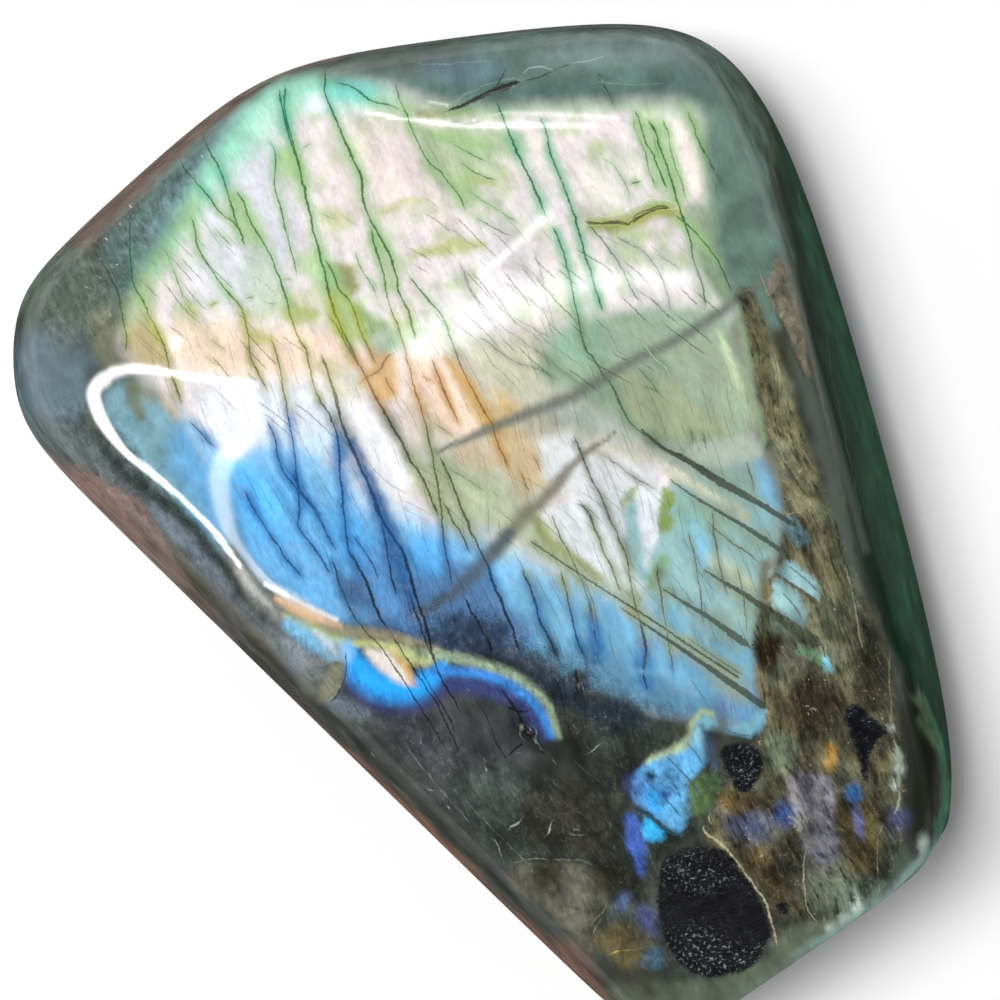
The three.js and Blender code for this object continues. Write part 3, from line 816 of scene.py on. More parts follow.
ROLL_OVER = [
    # Painted reflection: the white edge carries on the mirrored loop of light, and the grey arc ends
    # the inner streak of light.
    band("painted highlight at the loop's end", (236, 242, 246), 0.9, 0.9, 0.5,
         [(266, 584), (284, 594), (302, 604), (320, 613), (338, 620)], [2, 3.5, 4, 3, 1]),
    band("painted grey reflection arc", (150, 152, 146), 0.8, 0.9, 2,
         [(240, 572), (256, 594), (276, 612), (300, 630)], [6, 8, 7, 4]),
    band("orange arc", (222, 186, 148), 0.95, 0.9, 0.5,
         [(276, 598), (294, 608), (314, 618), (340, 627)], [3, 6, 6, 3]),
    band("tan arc", (148, 142, 116), 0.9, 0.9, 0.5,
         [(318, 626), (346, 632), (372, 634), (396, 638), (420, 646), (446, 656)], [3, 6, 6, 5, 5, 4]),
    band("lime arc", (172, 186, 132), 0.9, 0.9, 0.5,
         [(284, 616), (310, 628), (332, 638), (352, 643), (376, 644), (404, 650), (430, 660)],
         [3, 5, 4, 4, 3, 4, 4]),
    band("sky patch", (128, 196, 236), 0.9, 0.9, 1,
         [(288, 624), (304, 636), (318, 648), (334, 660)], [6, 8, 7, 5]),
    band("white of the patch", (206, 222, 230), 0.8, 0.9, 1, [(316, 632), (326, 642), (334, 652)],
         [3, 4, 3]),
    band("haze beside the patch", (134, 144, 152), 0.8, 0.9, 4,
         [(286, 644), (302, 658), (320, 672)], [5, 10, 8]),
    area("haze outside the arc", (112, 124, 140), 0.8, 8, 4,
         [(322, 700), (334, 694), (350, 700), (372, 712), (366, 722), (340, 716)]),
    band("indigo haze", (58, 70, 126), 0.88, 1.0, 2,
         [(342, 672), (362, 690), (390, 701), (420, 699), (444, 686), (476, 685), (506, 695),
          (530, 713), (543, 736)], [8, 10, 11, 10, 9, 9, 9, 8, 5]),
    band("azure arc", (44, 168, 250), 1.0, 0.8, 0.5,
         [(348, 648), (354, 664), (372, 680), (394, 689), (416, 688), (434, 674), (442, 664)],
         [7, 12, 13.5, 13.5, 11.5, 10, 6]),
    area("white inside the arc", (228, 222, 214), 1.0, 4, 1,
         [(362, 648), (384, 649), (396, 656), (408, 672), (412, 686), (400, 684), (382, 672),
          (368, 658)]),
    band("orange in it", (222, 172, 92), 0.85, 0.9, 0.5,
         [(392, 650), (402, 662), (410, 676), (414, 686)], [4, 4, 3, 2]),
    band("cream over it", (190, 196, 136), 0.9, 0.9, 0.5,
         [(352, 644), (380, 645), (398, 652), (412, 660), (428, 662)], [2, 3, 4, 5, 5]),
    band("right arm", (150, 172, 142), 0.9, 0.9, 0.5,
         [(420, 654), (450, 658), (480, 664), (508, 674), (532, 690), (548, 708), (558, 736)],
         [4, 5, 5, 5, 5, 4, 3]),
    band("blue of the right arm", (62, 140, 222), 1.0, 0.9, 0.5,
         [(434, 672), (452, 671), (478, 674), (504, 682), (526, 696), (541, 712), (551, 736)],
         [5, 4.5, 4.5, 4.5, 4.5, 4, 3]),
    area("dark webs", (22, 24, 28), 0.8, 7, 9,
         [(504, 706), (522, 708), (536, 730), (548, 754), (532, 752), (514, 738)]),
    area("grey around the olive chip", (112, 118, 112), 0.7, 10, 6,
         [(300, 660), (330, 652), (342, 664), (340, 690), (326, 706), (300, 694)]),
    area("olive chip", (124, 124, 100), 0.9, 2.5, 2,
         [(330, 664), (343, 660), (343, 678), (336, 694), (326, 703), (314, 698), (322, 682)]),
    area("light of the sky patch", (190, 222, 238), 0.45, 5, 4,
         [(320, 642), (340, 640), (356, 650), (350, 664), (334, 662)]),
]
BROWN_BAND = [
    (735, 290), (744, 312), (753, 351), (762, 399), (772, 446), (786, 478), (784, 548),
    (766, 590), (752, 637), (756, 680), (768, 720), (750, 760), (720, 800), (700, 850),
    (760, 900), (800, 930), (880, 900), (905, 840), (903, 760), (893, 680), (884, 644),
    (864, 600), (846, 548), (826, 500), (809, 450), (791, 400), (776, 350), (764, 312),
    (750, 288)]
WINDOWS = [
    [(779, 565), (791, 560), (816, 580), (820, 592), (818, 601), (797, 587), (777, 573)],
    [(773, 582), (781, 578), (799, 594), (807, 612), (807, 622), (800, 628), (790, 621),
     (772, 603)],
    [(797, 644), (813, 649), (827, 658), (834, 668), (829, 672), (813, 660), (797, 653)]]
BROWN_MARKS = [
    area("grey brown top", (92, 90, 64), 0.8, 7, 8,
         [(738, 292), (760, 304), (776, 360), (792, 430), (784, 450), (764, 400), (750, 340)]),
    area("grey olive of the brown", (112, 110, 84), 0.7, 12, 10,
         [(766, 400), (790, 410), (814, 470), (832, 540), (844, 600), (820, 610), (790, 560),
          (782, 500)]),
    area("dusky edge of the brown", (66, 70, 52), 0.7, 7, 6,
         [(822, 470), (842, 530), (866, 600), (886, 650), (880, 690), (858, 650), (838, 590),
          (826, 530)]),
    area("green grey among the windows", (96, 112, 100), 0.45, 8, 6,
         [(770, 600), (800, 630), (836, 650), (840, 670), (800, 668), (776, 640)]),
    area("dark knot", (48, 34, 16), 0.9, 5, 5,
         [(752, 637), (778, 634), (784, 650), (776, 668), (762, 672), (754, 658)]),
    area("gold by the knot", (116, 96, 54), 0.7, 4, 6,
         [(754, 664), (764, 670), (764, 700), (772, 726), (764, 724), (756, 690)]),
    area("gold over the windows", (104, 94, 58), 0.8, 5, 6,
         [(758, 560), (776, 556), (774, 580), (770, 604), (760, 600)]),
    area("dark middle of the brown", (60, 54, 40), 0.85, 12, 10,
         [(776, 690), (820, 670), (850, 690), (840, 730), (800, 740), (778, 720)]),
    area("grey of the brown", (88, 86, 72), 0.8, 10, 8,
         [(790, 634), (830, 670), (820, 690), (786, 670)]),
    area("dark strip by the ridge", (82, 94, 84), 0.7, 6, 4,
         [(786, 300), (800, 330), (822, 400), (838, 470), (852, 530), (866, 590), (858, 600),
          (838, 540), (820, 460), (802, 400), (788, 340)]),
    area("warm right of the brown", (54, 54, 38), 0.8, 8, 6,
         [(858, 640), (888, 650), (890, 700), (872, 716), (860, 690)]),
    area("beige tongue", (124, 116, 94), 0.9, 2.5, 5,
         [(768, 282), (775, 256), (785, 258), (793, 282), (801, 322), (812, 372), (806, 376),
          (796, 350), (784, 322), (773, 302)]),
    band("dark side of the tongue", (50, 48, 38), 0.75, 0.9, 1.5,
         [(770, 296), (780, 318), (792, 346), (804, 374)], [1, 1.5, 2, 1.5]),
    spot("dark of the tongue", (66, 62, 48), 0.6, 0.8, 5, (780, 284), (6, 10)),
    area("first window", (128, 166, 170), 0.95, 2, 1.5, WINDOWS[0], sharp=True),
    area("second window", (136, 172, 172), 0.95, 2, 1.5, WINDOWS[1], sharp=True),
    area("green window", (126, 168, 128), 0.9, 2, 1.5, WINDOWS[2], sharp=True),
    area("end of the green window", (110, 176, 200), 0.95, 1.5, 1,
         [(824, 657), (834, 667), (830, 672), (820, 662)], sharp=True),
    area("upper window", (118, 160, 174), 0.8, 3, 3,
         [(782, 514), (800, 522), (812, 540), (800, 548), (786, 536)]),
    area("corner dark", (34, 38, 28), 0.95, 7, 5,
         [(898, 700), (926, 700), (940, 740), (940, 800), (925, 836), (905, 830), (906, 790),
          (898, 740)]),
    area("foot corner", (78, 92, 80), 0.9, 3, 1,
         [(884, 828), (900, 842), (916, 858), (908, 873), (881, 896), (880, 870), (879, 845)]),
    area("foot olive", (106, 116, 96), 0.85, 10, 7,
         [(806, 870), (840, 872), (880, 880), (860, 910), (800, 950), (760, 985), (720, 1000),
          (776, 940), (812, 912)]),
    area("brown by the foot", (88, 80, 48), 0.8, 8, 6,
         [(852, 800), (878, 800), (886, 830), (876, 880), (850, 880), (846, 840)]),
    area("dusky middle of the foot", (52, 50, 44), 0.85, 9, 6,
         [(770, 832), (800, 840), (806, 880), (790, 910), (770, 880)]),
    area("olive beside the ledge", (92, 80, 52), 0.85, 7, 5,
         [(734, 836), (764, 846), (790, 890), (784, 908), (766, 890), (746, 862)]),
    area("lilac patch", LILAC, 0.9, 3, 6,
         [(790, 772), (833, 774), (835, 802), (842, 852), (822, 866), (806, 858), (804, 823),
          (792, 807)]),
    band("pale side of the lilac", (166, 162, 156), 0.7, 0.8, 3,
         [(790, 776), (794, 800), (802, 822), (810, 850)], [3, 4, 4, 3]),
    spot("lilac shade", (88, 92, 98), 0.75, 0.8, 5, (822, 852), (18, 22)),
    spot("blue spot", (60, 92, 160), 0.9, 0.8, 7, (785, 812), (9, 13), 10),
    spot("dull blue spot", (84, 96, 134), 0.8, 0.9, 9, (748, 826), (20, 14), 20),
    spot("bright spot", (70, 142, 222), 1.0, 0.6, 1, (854, 794), (7, 9), -12),
    spot("streak below it", (96, 104, 164), 0.9, 0.8, 1, (858, 820), (4, 17), -8),
    spot("violet spot", (80, 82, 122), 0.75, 0.9, 6, (896, 822), (11, 12)),
    area("amber spot", (156, 122, 62), 0.95, 2, 2,
         [(826, 744), (838, 748), (837, 764), (831, 776), (825, 764)], sharp=True),
    area("green by the black", (62, 88, 54), 0.85, 5, 9,
         [(704, 768), (716, 780), (712, 812), (694, 816), (686, 796), (690, 780)]),
    area("rust by the black", (92, 76, 40), 0.8, 5, 7,
         [(718, 790), (752, 796), (770, 800), (740, 816), (716, 806)]),
    area("green beside the black", (118, 132, 106), 0.8, 7, 6,
         [(762, 732), (780, 730), (796, 750), (792, 770), (776, 780), (766, 764)]),
    area("light upper brown", (150, 156, 130), 0.5, 8, 10,
         [(768, 440), (792, 442), (800, 466), (794, 484), (774, 476)]),
    area("light of the foot", (138, 166, 152), 0.5, 10, 8,
         [(838, 888), (868, 876), (886, 884), (876, 910), (848, 924), (832, 908)]),
    area("grey olive over the brown", (130, 136, 108), 0.5, 7, 8,
         [(766, 350), (782, 360), (794, 400), (786, 410), (770, 390)]),
    area("dark beside the windows", (64, 74, 56), 0.6, 8, 8,
         [(812, 594), (838, 602), (850, 640), (832, 644), (814, 628)]),
    area("straw over the brown", (142, 142, 106), 0.45, 7, 8,
         [(770, 404), (790, 402), (802, 440), (784, 446), (770, 424)]),
]
# Pale chips along the right edge. Those on the foot edge are painted glints.
CHIPS_AND_GLINTS = [
    spot("pale chip and painted glint", (184, 200, 190), 0.85, 0.8, 3, centre, (size, 1.4*size), -10)
    for centre, size in [((892, 727), 3), ((898, 756), 4), ((900, 770), 5), ((896, 786), 4),
                         ((924, 846), 6), ((858, 908), 5), ((845, 920), 5), ((832, 930), 4)]]
CHIPS_AND_GLINTS += [
    # The foot edge is its own light teal with a painted highlight along it.
    band("foot edge and its painted highlight", (132, 164, 154), 0.9, 0.8, 2,
         [(941, 832), (930, 852), (908, 876), (878, 906), (832, 936), (796, 960), (740, 1000)],
         [4, 5, 4, 5, 6, 5, 6]),
    band("corner edge", (66, 122, 96), 0.9, 0.8, 2,
         [(914, 668), (930, 700), (943, 740), (950, 776), (947, 808), (938, 828)],
         [3, 5, 6, 7, 6, 4]),
    band("upper wisp", (104, 138, 104), 0.7, 0.9, 2, [(914, 698), (922, 706), (930, 720)], [3, 5, 3]),
    band("lower wisp", (92, 122, 84), 0.7, 0.9, 2, [(920, 722), (934, 740), (938, 752)], [3, 5, 3]),
]
JAGGED_MARKS = [
    area("jagged flash, pale", (128, 186, 206), 0.95, 3, 3,
         [(660, 757), (678, 748), (694, 728), (700, 714), (712, 714), (716, 722), (730, 732),
          (760, 738), (768, 712), (764, 708), (740, 724), (716, 726), (706, 728), (704, 744),
          (706, 762), (698, 772), (684, 782), (660, 790), (646, 762)]),
    area("jagged flash", (98, 172, 222), 0.95, 3, 3,
         [(640, 766), (650, 760), (680, 752), (700, 742), (705, 758), (698, 771), (682, 781),
          (694, 801), (688, 816), (684, 834), (674, 834), (658, 821), (634, 800), (630, 784)]),
    area("violet side of it", (80, 108, 190), 0.7, 10, 4,
         [(630, 776), (642, 776), (648, 796), (652, 810), (640, 806), (630, 792)]),
    spot("jagged azure", (60, 176, 250), 0.95, 0.7, 3, (654, 802), (7, 13), -30),
    area("second azure", (62, 186, 248), 0.95, 3, 2,
         [(643, 815), (652, 820), (664, 832), (662, 840), (648, 842), (640, 830)]),
    area("jagged tail", (66, 98, 180), 0.9, 4, 5,
         [(627, 814), (640, 816), (646, 838), (650, 856), (648, 874), (640, 878), (632, 852),
          (626, 834)]),
    band("jagged edge", (166, 182, 138), 0.9, 0.9, 2,
         [(646, 762), (664, 753), (684, 744), (694, 722), (702, 712), (712, 714)], [2, 3, 4, 3, 3, 3]),
    area("notch in the jagged flash", (60, 74, 96), 0.9, 3, 2,
         [(700, 722), (708, 730), (716, 752), (718, 768), (710, 770), (704, 750)]),
    area("green in the jagged flash", (82, 104, 62), 0.85, 4, 10,
         [(686, 786), (700, 780), (712, 790), (708, 808), (696, 816), (688, 806)]),
    spot("dark spot", (22, 30, 62), 0.95, 0.5, 1, (652, 776), (2.6, 3.4)),
    spot("blue dark spot", (40, 90, 160), 0.9, 0.6, 1, (665, 795), (5, 3), 20),
    spot("low blue spot", (84, 108, 154), 0.75, 0.9, 5, (622, 902), (5, 7)),
    spot("low violet spot", (72, 78, 126), 0.75, 0.9, 7, (646, 920), (9, 13), -30),
    spot("lowest blue spot", (88, 144, 178), 0.8, 0.9, 5, (652, 958), (7, 8)),
    area("olive by the tip", (104, 92, 50), 0.55, 12, 16,
         [(590, 920), (640, 925), (654, 950), (630, 970), (610, 960)]),
    area("tip green", (92, 102, 84), 0.8, 10, 6,
         [(600, 975), (700, 980), (800, 955), (830, 936), (760, 1000), (700, 1040), (620, 1030)]),
    area("tip dark", (36, 34, 26), 0.7, 10, 6, [(590, 960), (640, 970), (660, 1000), (620, 990)]),
    area("dusk of the small patch", (50, 104, 150), 0.35, 7, 8,
         [(640, 760), (676, 752), (690, 780), (668, 808), (640, 800)]),
    spot("navy dot", (20, 34, 70), 0.9, 0.5, 1, (651, 776), (3, 4)),
    spot("second navy dot", (34, 72, 146), 0.85, 0.5, 1, (664, 794), (6, 4), 20),
]
RIDGE = [
    (748, 88), (765, 128), (773, 191), (790, 242), (805, 319), (818, 383), (832, 446),
    (846, 500), (864, 560), (878, 606), (890, 646), (900, 662), (917, 686), (930, 706),
    (942, 736), (950, 776)]
SIDE_MARKS = [
    area("side face", BOTTLE, 0.97, 2.5, 1,
         RIDGE + [(1000, 776), (1000, 100), (790, 40), (735, 60)], sharp=True),
    band("side light", MOSS, 0.5, 0.9, 5,
         [(800, 200), (838, 330), (872, 440), (900, 560), (915, 640)], [4, 8, 10, 12, 8]),
    band("side dark", (20, 40, 28), 0.8, 0.9, 3,
         [(780, 180), (800, 260), (822, 370), (852, 490), (884, 610), (896, 645)],
         [4, 6, 7, 7, 6, 3]),
    band("ridge light", (88, 94, 80), 0.7, 0.9, 1,
         [(732, 62), (752, 96), (768, 128), (776, 190), (792, 260), (806, 325), (820, 390),
          (836, 460), (850, 520), (868, 580), (886, 640)], [2, 3, 4, 4, 3, 2, 2, 2, 2, 2, 1.5]),
    band("dark foot of the ridge", (22, 38, 28), 0.75, 0.9, 3,
         [(852, 500), (864, 550), (878, 600), (890, 636)], [4, 6, 6, 4]),
    band("dusk of the ridge", (28, 42, 32), 0.65, 0.9, 2,
         [(848, 506), (855, 530), (863, 560), (873, 600)], [2, 5, 6, 3]),
]
SPARKLES = [
    spot("upper sparkles", CLEAR, 0.85, 0.8, 12, (690, 872), (34, 17), 8),
    spot("lower sparkles", CLEAR, 0.85, 0.8, 12, (712, 956), (50, 20), 8),
    spot("sparkles of the small grain", CLEAR, 0.6, 0.8, 9, (742, 766), (20, 26)),
]
BLACK_GRAINS = [
    [(664, 858), (684, 849), (718, 847), (733, 858), (747, 876), (762, 898), (769, 918),
     (774, 934), (762, 956), (751, 970), (729, 976), (695, 976), (678, 965), (666, 947),
     (662, 925), (658, 898), (658, 874)],
    [(720, 747), (741, 739), (757, 745), (763, 762), (761, 782), (749, 794), (735, 790),
     (722, 770)],
    [(847, 707), (855, 702), (869, 715), (892, 729), (884, 737), (873, 747), (869, 770),
     (867, 790), (861, 766), (855, 747), (851, 729), (843, 719)],
    [(776, 906), (788, 902), (792, 910), (782, 918)],
]

# Where the ridge at the right is rubbed dull.
DULL_RIDGE = band("dull ridge", CLEAR, 0.85, 0.6, 3,
                  [(868, 560), (888, 620), (906, 670), (918, 720), (924, 780), (918, 832)],
                  [7, 9, 11, 13, 13, 9])
# Hollows in the surface: how deep, in mm, and where.
HOLLOWS = [
    (0.5, area("chip at the rim", CLEAR, 1.0, 3, 3,
               [(330, 662), (343, 662), (343, 676), (339, 690), (332, 700), (320, 702),
                (312, 690), (318, 676)])),
    (0.35, area("flake of the top bevel", CLEAR, 1.0, 3, 3,
                [(446, 112), (470, 98), (500, 84), (526, 80), (522, 90), (496, 102), (470, 114)])),
    (0.15, band("jagged step", CLEAR, 1.0, 0.6, 3,
                [(590, 224), (618, 224), (638, 216), (655, 208), (672, 208)], [2, 4, 5, 5, 3])),
    (0.15, area("black grain", CLEAR, 1.0, 5, 4,
                [(664, 858), (684, 849), (718, 847), (747, 876), (769, 918), (774, 934),
                 (751, 970), (729, 976), (678, 965), (658, 898)])),
]
HOLLOWS += [
    (0.2, spot("pit", CLEAR, 1.0, 0.6, 2, centre, (size, 0.7*size), 30))
    for centre, size in [((160, 208), 6), ((150, 224), 5), ((136, 238), 6), ((120, 248), 5),
                         ((151, 243), 4), ((118, 268), 7), ((104, 282), 5), ((98, 292), 6),
                         ((892, 727), 5), ((900, 770), 7), ((924, 846), 7), ((858, 908), 6),
                         ((845, 920), 6), ((96, 470), 5), ((124, 500), 5)]]

# Cracks: the widest half width and the line of each, in pixels.
CRACKS = [
    # silver zone, left
    (1.3, [(278, 84), (284, 117), (292, 146), (298, 163), (306, 198), (311, 220), (320, 255),
           (325, 275), (329, 296), (337, 318), (346, 338), (364, 374), (373, 393), (383, 410),
           (393, 427), (404, 446), (411, 462), (421, 475), (431, 498), (440, 520)]),
    (1.0, [(285, 79), (285, 112), (292, 140), (300, 172)]),
    (1.1, [(201, 130), (208, 148), (218, 167), (225, 184), (232, 206), (239, 230), (246, 250)]),
    (1.1, [(234, 186), (243, 203), (251, 222), (260, 237), (270, 255), (277, 272), (284, 291),
           (289, 310), (295, 330), (305, 349), (309, 364), (316, 392), (326, 412)]),
    (0.8, [(267, 136), (275, 155), (274, 181), (279, 203), (284, 224), (289, 243), (294, 263),
           (298, 280)]),
    (0.9, [(179, 151), (184, 168), (198, 184), (210, 199), (220, 212), (234, 222), (244, 240)]),
    (0.9, [(187, 210), (194, 225), (196, 241), (203, 258), (215, 275), (225, 289), (236, 301),
           (244, 317), (249, 346), (253, 363), (263, 382), (270, 397)]),
    (0.5, [(163, 244), (170, 263), (177, 280), (182, 296), (191, 310), (203, 320)]),
    (1.0, [(132, 215), (129, 232), (131, 267), (134, 286), (143, 301), (150, 318), (160, 336),
           (165, 350), (170, 370), (177, 392), (182, 407)]),
    (0.9, [(94, 251), (105, 268), (115, 287), (120, 305), (125, 330), (126, 356)]),
    (0.5, [(205, 310), (215, 303), (224, 302)]),
    (0.8, [(244, 299), (250, 297), (256, 294)]),
    (0.6, [(298, 150), (306, 146), (314, 140)]),
    (0.5, [(280, 279), (296, 279)]),
    (0.6, [(262, 300), (274, 304), (283, 302)]),
    (0.6, [(210, 222), (222, 236), (236, 250)]),
    (0.4, [(196, 200), (203, 220), (216, 240), (226, 252)]),
    # silver zone, middle
    (1.3, [(325, 64), (325, 91), (332, 110), (341, 132), (350, 153), (356, 165), (362, 181),
           (363, 201), (370, 220), (381, 239), (391, 260), (396, 275), (399, 292), (408, 310),
           (413, 330), (417, 345)]),
    (0.9, [(371, 222), (372, 236), (379, 258), (384, 277), (387, 296), (394, 318), (400, 331),
           (405, 350), (411, 372), (417, 396), (424, 417), (429, 439), (433, 462), (438, 486),
           (442, 511), (443, 536), (448, 565), (452, 590)]),
    (1.0, [(322, 255), (331, 268), (339, 289), (348, 299), (356, 318), (361, 331), (371, 353),
           (380, 369)]),
    (0.9, [(393, 79), (398, 94), (406, 112), (412, 129), (422, 150), (430, 163), (443, 174),
           (453, 187), (461, 199), (467, 213)]),
    (0.5, [(425, 143), (434, 153), (441, 170)]),
    (0.9, [(329, 81), (346, 84), (362, 93), (372, 101), (389, 105), (405, 112)]),
    (0.6, [(441, 136), (458, 146), (475, 156), (492, 163)]),
    (0.7, [(456, 158), (472, 170), (487, 177), (501, 182)]),
    (0.5, [(463, 186), (480, 198), (501, 212), (522, 224)]),
    (0.7, [(470, 212), (489, 225), (508, 234), (518, 237)]),
    (0.6, [(439, 220), (456, 232), (467, 241), (482, 251)]),
    (0.6, [(455, 256), (465, 274), (470, 289), (480, 306), (492, 323), (505, 336)]),
    (0.5, [(460, 265), (482, 289), (501, 308), (525, 329), (548, 345)]),
    (0.6, [(496, 279), (510, 287), (530, 301), (556, 316)]),
    (0.4, [(515, 263), (530, 273), (546, 284)]),
    (0.9, [(406, 273), (418, 287), (432, 304), (440, 312), (447, 327), (455, 351), (466, 377),
           (478, 400), (491, 422), (497, 441), (504, 456), (510, 474)]),
    (0.5, [(353, 246), (360, 267), (370, 282), (379, 301), (387, 315)]),
    (0.5, [(340, 214), (352, 222), (364, 226)]),
    (0.5, [(316, 210), (326, 216), (340, 220)]),
    # silver zone, right
    (1.5, [(495, 96), (504, 120), (513, 144), (523, 165), (533, 184), (542, 206), (549, 222)]),
    (1.1, [(549, 222), (556, 232), (563, 251), (568, 270), (573, 291), (576, 310), (580, 327),
           (584, 344), (594, 360), (604, 375), (615, 391), (622, 408), (630, 422), (644, 434),
           (663, 448)]),
    (1.1, [(539, 112), (545, 127), (552, 156), (559, 175), (568, 198), (576, 220), (582, 243),
           (588, 263), (594, 282), (599, 299), (606, 318)]),
    (0.9, [(586, 220), (597, 234), (614, 255), (625, 275), (633, 292), (644, 305)]),
    (0.6, [(611, 234), (632, 244), (650, 258), (661, 275), (668, 296), (671, 315)]),
    (0.5, [(649, 251), (669, 261), (687, 277)]),
    (0.5, [(630, 284), (649, 298), (666, 310)]),
    (1.0, [(633, 106), (642, 127), (645, 141), (656, 160), (663, 179), (669, 193)]),
    (1.2, [(645, 115), (656, 132), (661, 150), (668, 168), (675, 193), (681, 213), (690, 237),
           (695, 263), (702, 284), (706, 310)]),
    (0.9, [(685, 104), (694, 127), (700, 143), (711, 162), (718, 180)]),
    (0.5, [(497, 278), (519, 290), (540, 309)]),
    (0.5, [(462, 264), (467, 285), (482, 309), (497, 322), (521, 340), (540, 353), (566, 374),
           (592, 392)]),
    (0.5, [(512, 259), (532, 272), (545, 288), (564, 301)]),
    (0.5, [(473, 333), (493, 346), (514, 361), (540, 370), (560, 383)]),
    (0.5, [(532, 244), (538, 262), (543, 283), (547, 298), (551, 316), (556, 333)]),
    (0.6, [(632, 112), (636, 130), (644, 150), (650, 172), (660, 196)]),
    (0.6, [(660, 112), (668, 134), (672, 156), (680, 178), (688, 204)]),
    (0.5, [(652, 130), (658, 152), (664, 170)]),
    (1.0, [(671, 212), (687, 224), (702, 239), (718, 260), (728, 280), (735, 296)]),
    (1.3, [(582, 222), (600, 223), (618, 220), (628, 224), (638, 213), (652, 208), (666, 206),
           (672, 213)]),
    (0.4, [(597, 156), (614, 165), (625, 184), (633, 206)]),
    (0.8, [(629, 184), (636, 183), (644, 180)]),
    # peach zone
    (1.0, [(326, 310), (332, 320), (340, 332), (350, 351), (364, 373)]),
    (1.0, [(355, 387), (366, 377), (380, 370), (386, 357), (400, 350)]),
    (0.7, [(380, 371), (386, 379), (392, 390), (398, 402)]),
    (0.8, [(429, 353), (438, 375), (445, 393), (452, 408), (462, 431)]),
    (0.5, [(417, 374), (427, 378), (436, 385)]),
    (0.5, [(428, 420), (442, 428), (458, 440)]),
    (0.6, [(529, 448), (538, 465), (543, 480)]),
    (0.7, [(517, 465), (524, 480), (531, 498)]),
    (0.5, [(509, 313), (531, 327), (555, 339)]),
    (0.5, [(206, 334), (218, 345), (232, 354)]),
    (0.5, [(200, 352), (212, 362), (226, 368)]),
    # blue pool
    (1.0, [(265, 416), (274, 437), (282, 468), (296, 488), (310, 504), (320, 521), (330, 540),
           (340, 556)]),
    (0.9, [(268, 332), (275, 347), (280, 370), (284, 395), (289, 421), (294, 451), (296, 476),
           (299, 492), (299, 509), (298, 528), (311, 544), (323, 559)]),
    (1.3, [(312, 384), (323, 405), (333, 422), (338, 444), (340, 474), (343, 499), (345, 525),
           (349, 551), (356, 562), (367, 582)]),
    (1.8, [(321, 352), (331, 384), (338, 406), (343, 427), (354, 453), (364, 475), (374, 498),
           (381, 517), (393, 536), (404, 555), (412, 584), (421, 612), (428, 634), (433, 656),
           (438, 672)]),
    (1.2, [(381, 517), (385, 539), (388, 560), (392, 580), (398, 600)]),
    (0.8, [(290, 468), (300, 489), (312, 505), (321, 520), (330, 546)]),
    (0.9, [(349, 530), (362, 548), (373, 567), (380, 584)]),
    (0.8, [(297, 527), (312, 546), (324, 563), (332, 580)]),
    (1.5, [(438, 453), (445, 467), (452, 482), (459, 501), (467, 522), (476, 542), (486, 563),
           (493, 581), (504, 608), (514, 634), (521, 658)]),
    (1.0, [(442, 498), (450, 515), (462, 536), (473, 558)]),
    (0.6, [(445, 465), (462, 477), (479, 487), (491, 493)]),
    (2.0, [(352, 552), (360, 570), (367, 582), (376, 610), (390, 632)]),
    (1.0, [(390, 632), (402, 651), (414, 670), (428, 691), (438, 706), (454, 741), (462, 758)]),
    (1.4, [(462, 594), (476, 620), (488, 641), (493, 656)]),
    (1.2, [(520, 566), (531, 591), (540, 620), (552, 643), (559, 663)]),
    (0.9, [(241, 485), (255, 511), (272, 537), (289, 562), (306, 581)]),
    (0.8, [(184, 416), (201, 433), (218, 451)]),
    (0.8, [(416, 656), (424, 676), (436, 696), (448, 716), (458, 736)]),
    (1.1, [(330, 552), (338, 580), (350, 610), (366, 632), (383, 650), (398, 672), (412, 694),
           (428, 720), (446, 748)]),
    (1.0, [(408, 590), (418, 620), (430, 652), (440, 676), (452, 696), (462, 716)]),
    (0.7, [(350, 700), (366, 722), (384, 746), (404, 770)]),
    (0.6, [(470, 690), (486, 716), (496, 742), (512, 770)]),
    (0.6, [(420, 730), (440, 756), (464, 780), (486, 808)]),
    (0.7, [(548, 664), (560, 690), (566, 720), (578, 752)]),
    (0.5, [(500, 780), (520, 806), (536, 836), (556, 868)]),
    # right of the middle
    (0.8, [(572, 431), (582, 455), (589, 472), (601, 496), (610, 517), (620, 541), (628, 560),
           (632, 590), (640, 620), (648, 660)]),
    (0.9, [(572, 501), (587, 510), (594, 527), (603, 549), (613, 572), (622, 598)]),
    (0.7, [(549, 508), (558, 532), (568, 551), (580, 574), (592, 600), (600, 640)]),
    (0.5, [(596, 451), (616, 463), (630, 475), (646, 484), (663, 493)]),
    (0.7, [(632, 362), (649, 379), (663, 398)]),
    (0.7, [(702, 517), (727, 539), (751, 556), (764, 567)]),
    (0.7, [(689, 422), (692, 436), (694, 450)]),
    (0.7, [(700, 426), (705, 440), (708, 456)]),
    (0.9, [(711, 505), (715, 537), (720, 565), (728, 596)]),
    (0.8, [(687, 524), (694, 554), (700, 590), (704, 630)]),
    (0.7, [(744, 456), (752, 480), (756, 500)]),
    (0.8, [(590, 590), (592, 620), (600, 660)]),
    (0.9, [(560, 566), (568, 600), (576, 636), (588, 664)]),
    (0.8, [(656, 560), (662, 600), (668, 640), (676, 680)]),
    (0.7, [(736, 560), (744, 600), (748, 640)]),
    # top bevel
    (0.9, [(512, 62), (503, 74), (496, 88), (494, 100)]),
    (0.8, [(596, 64), (604, 84), (612, 100), (618, 112)]),
]
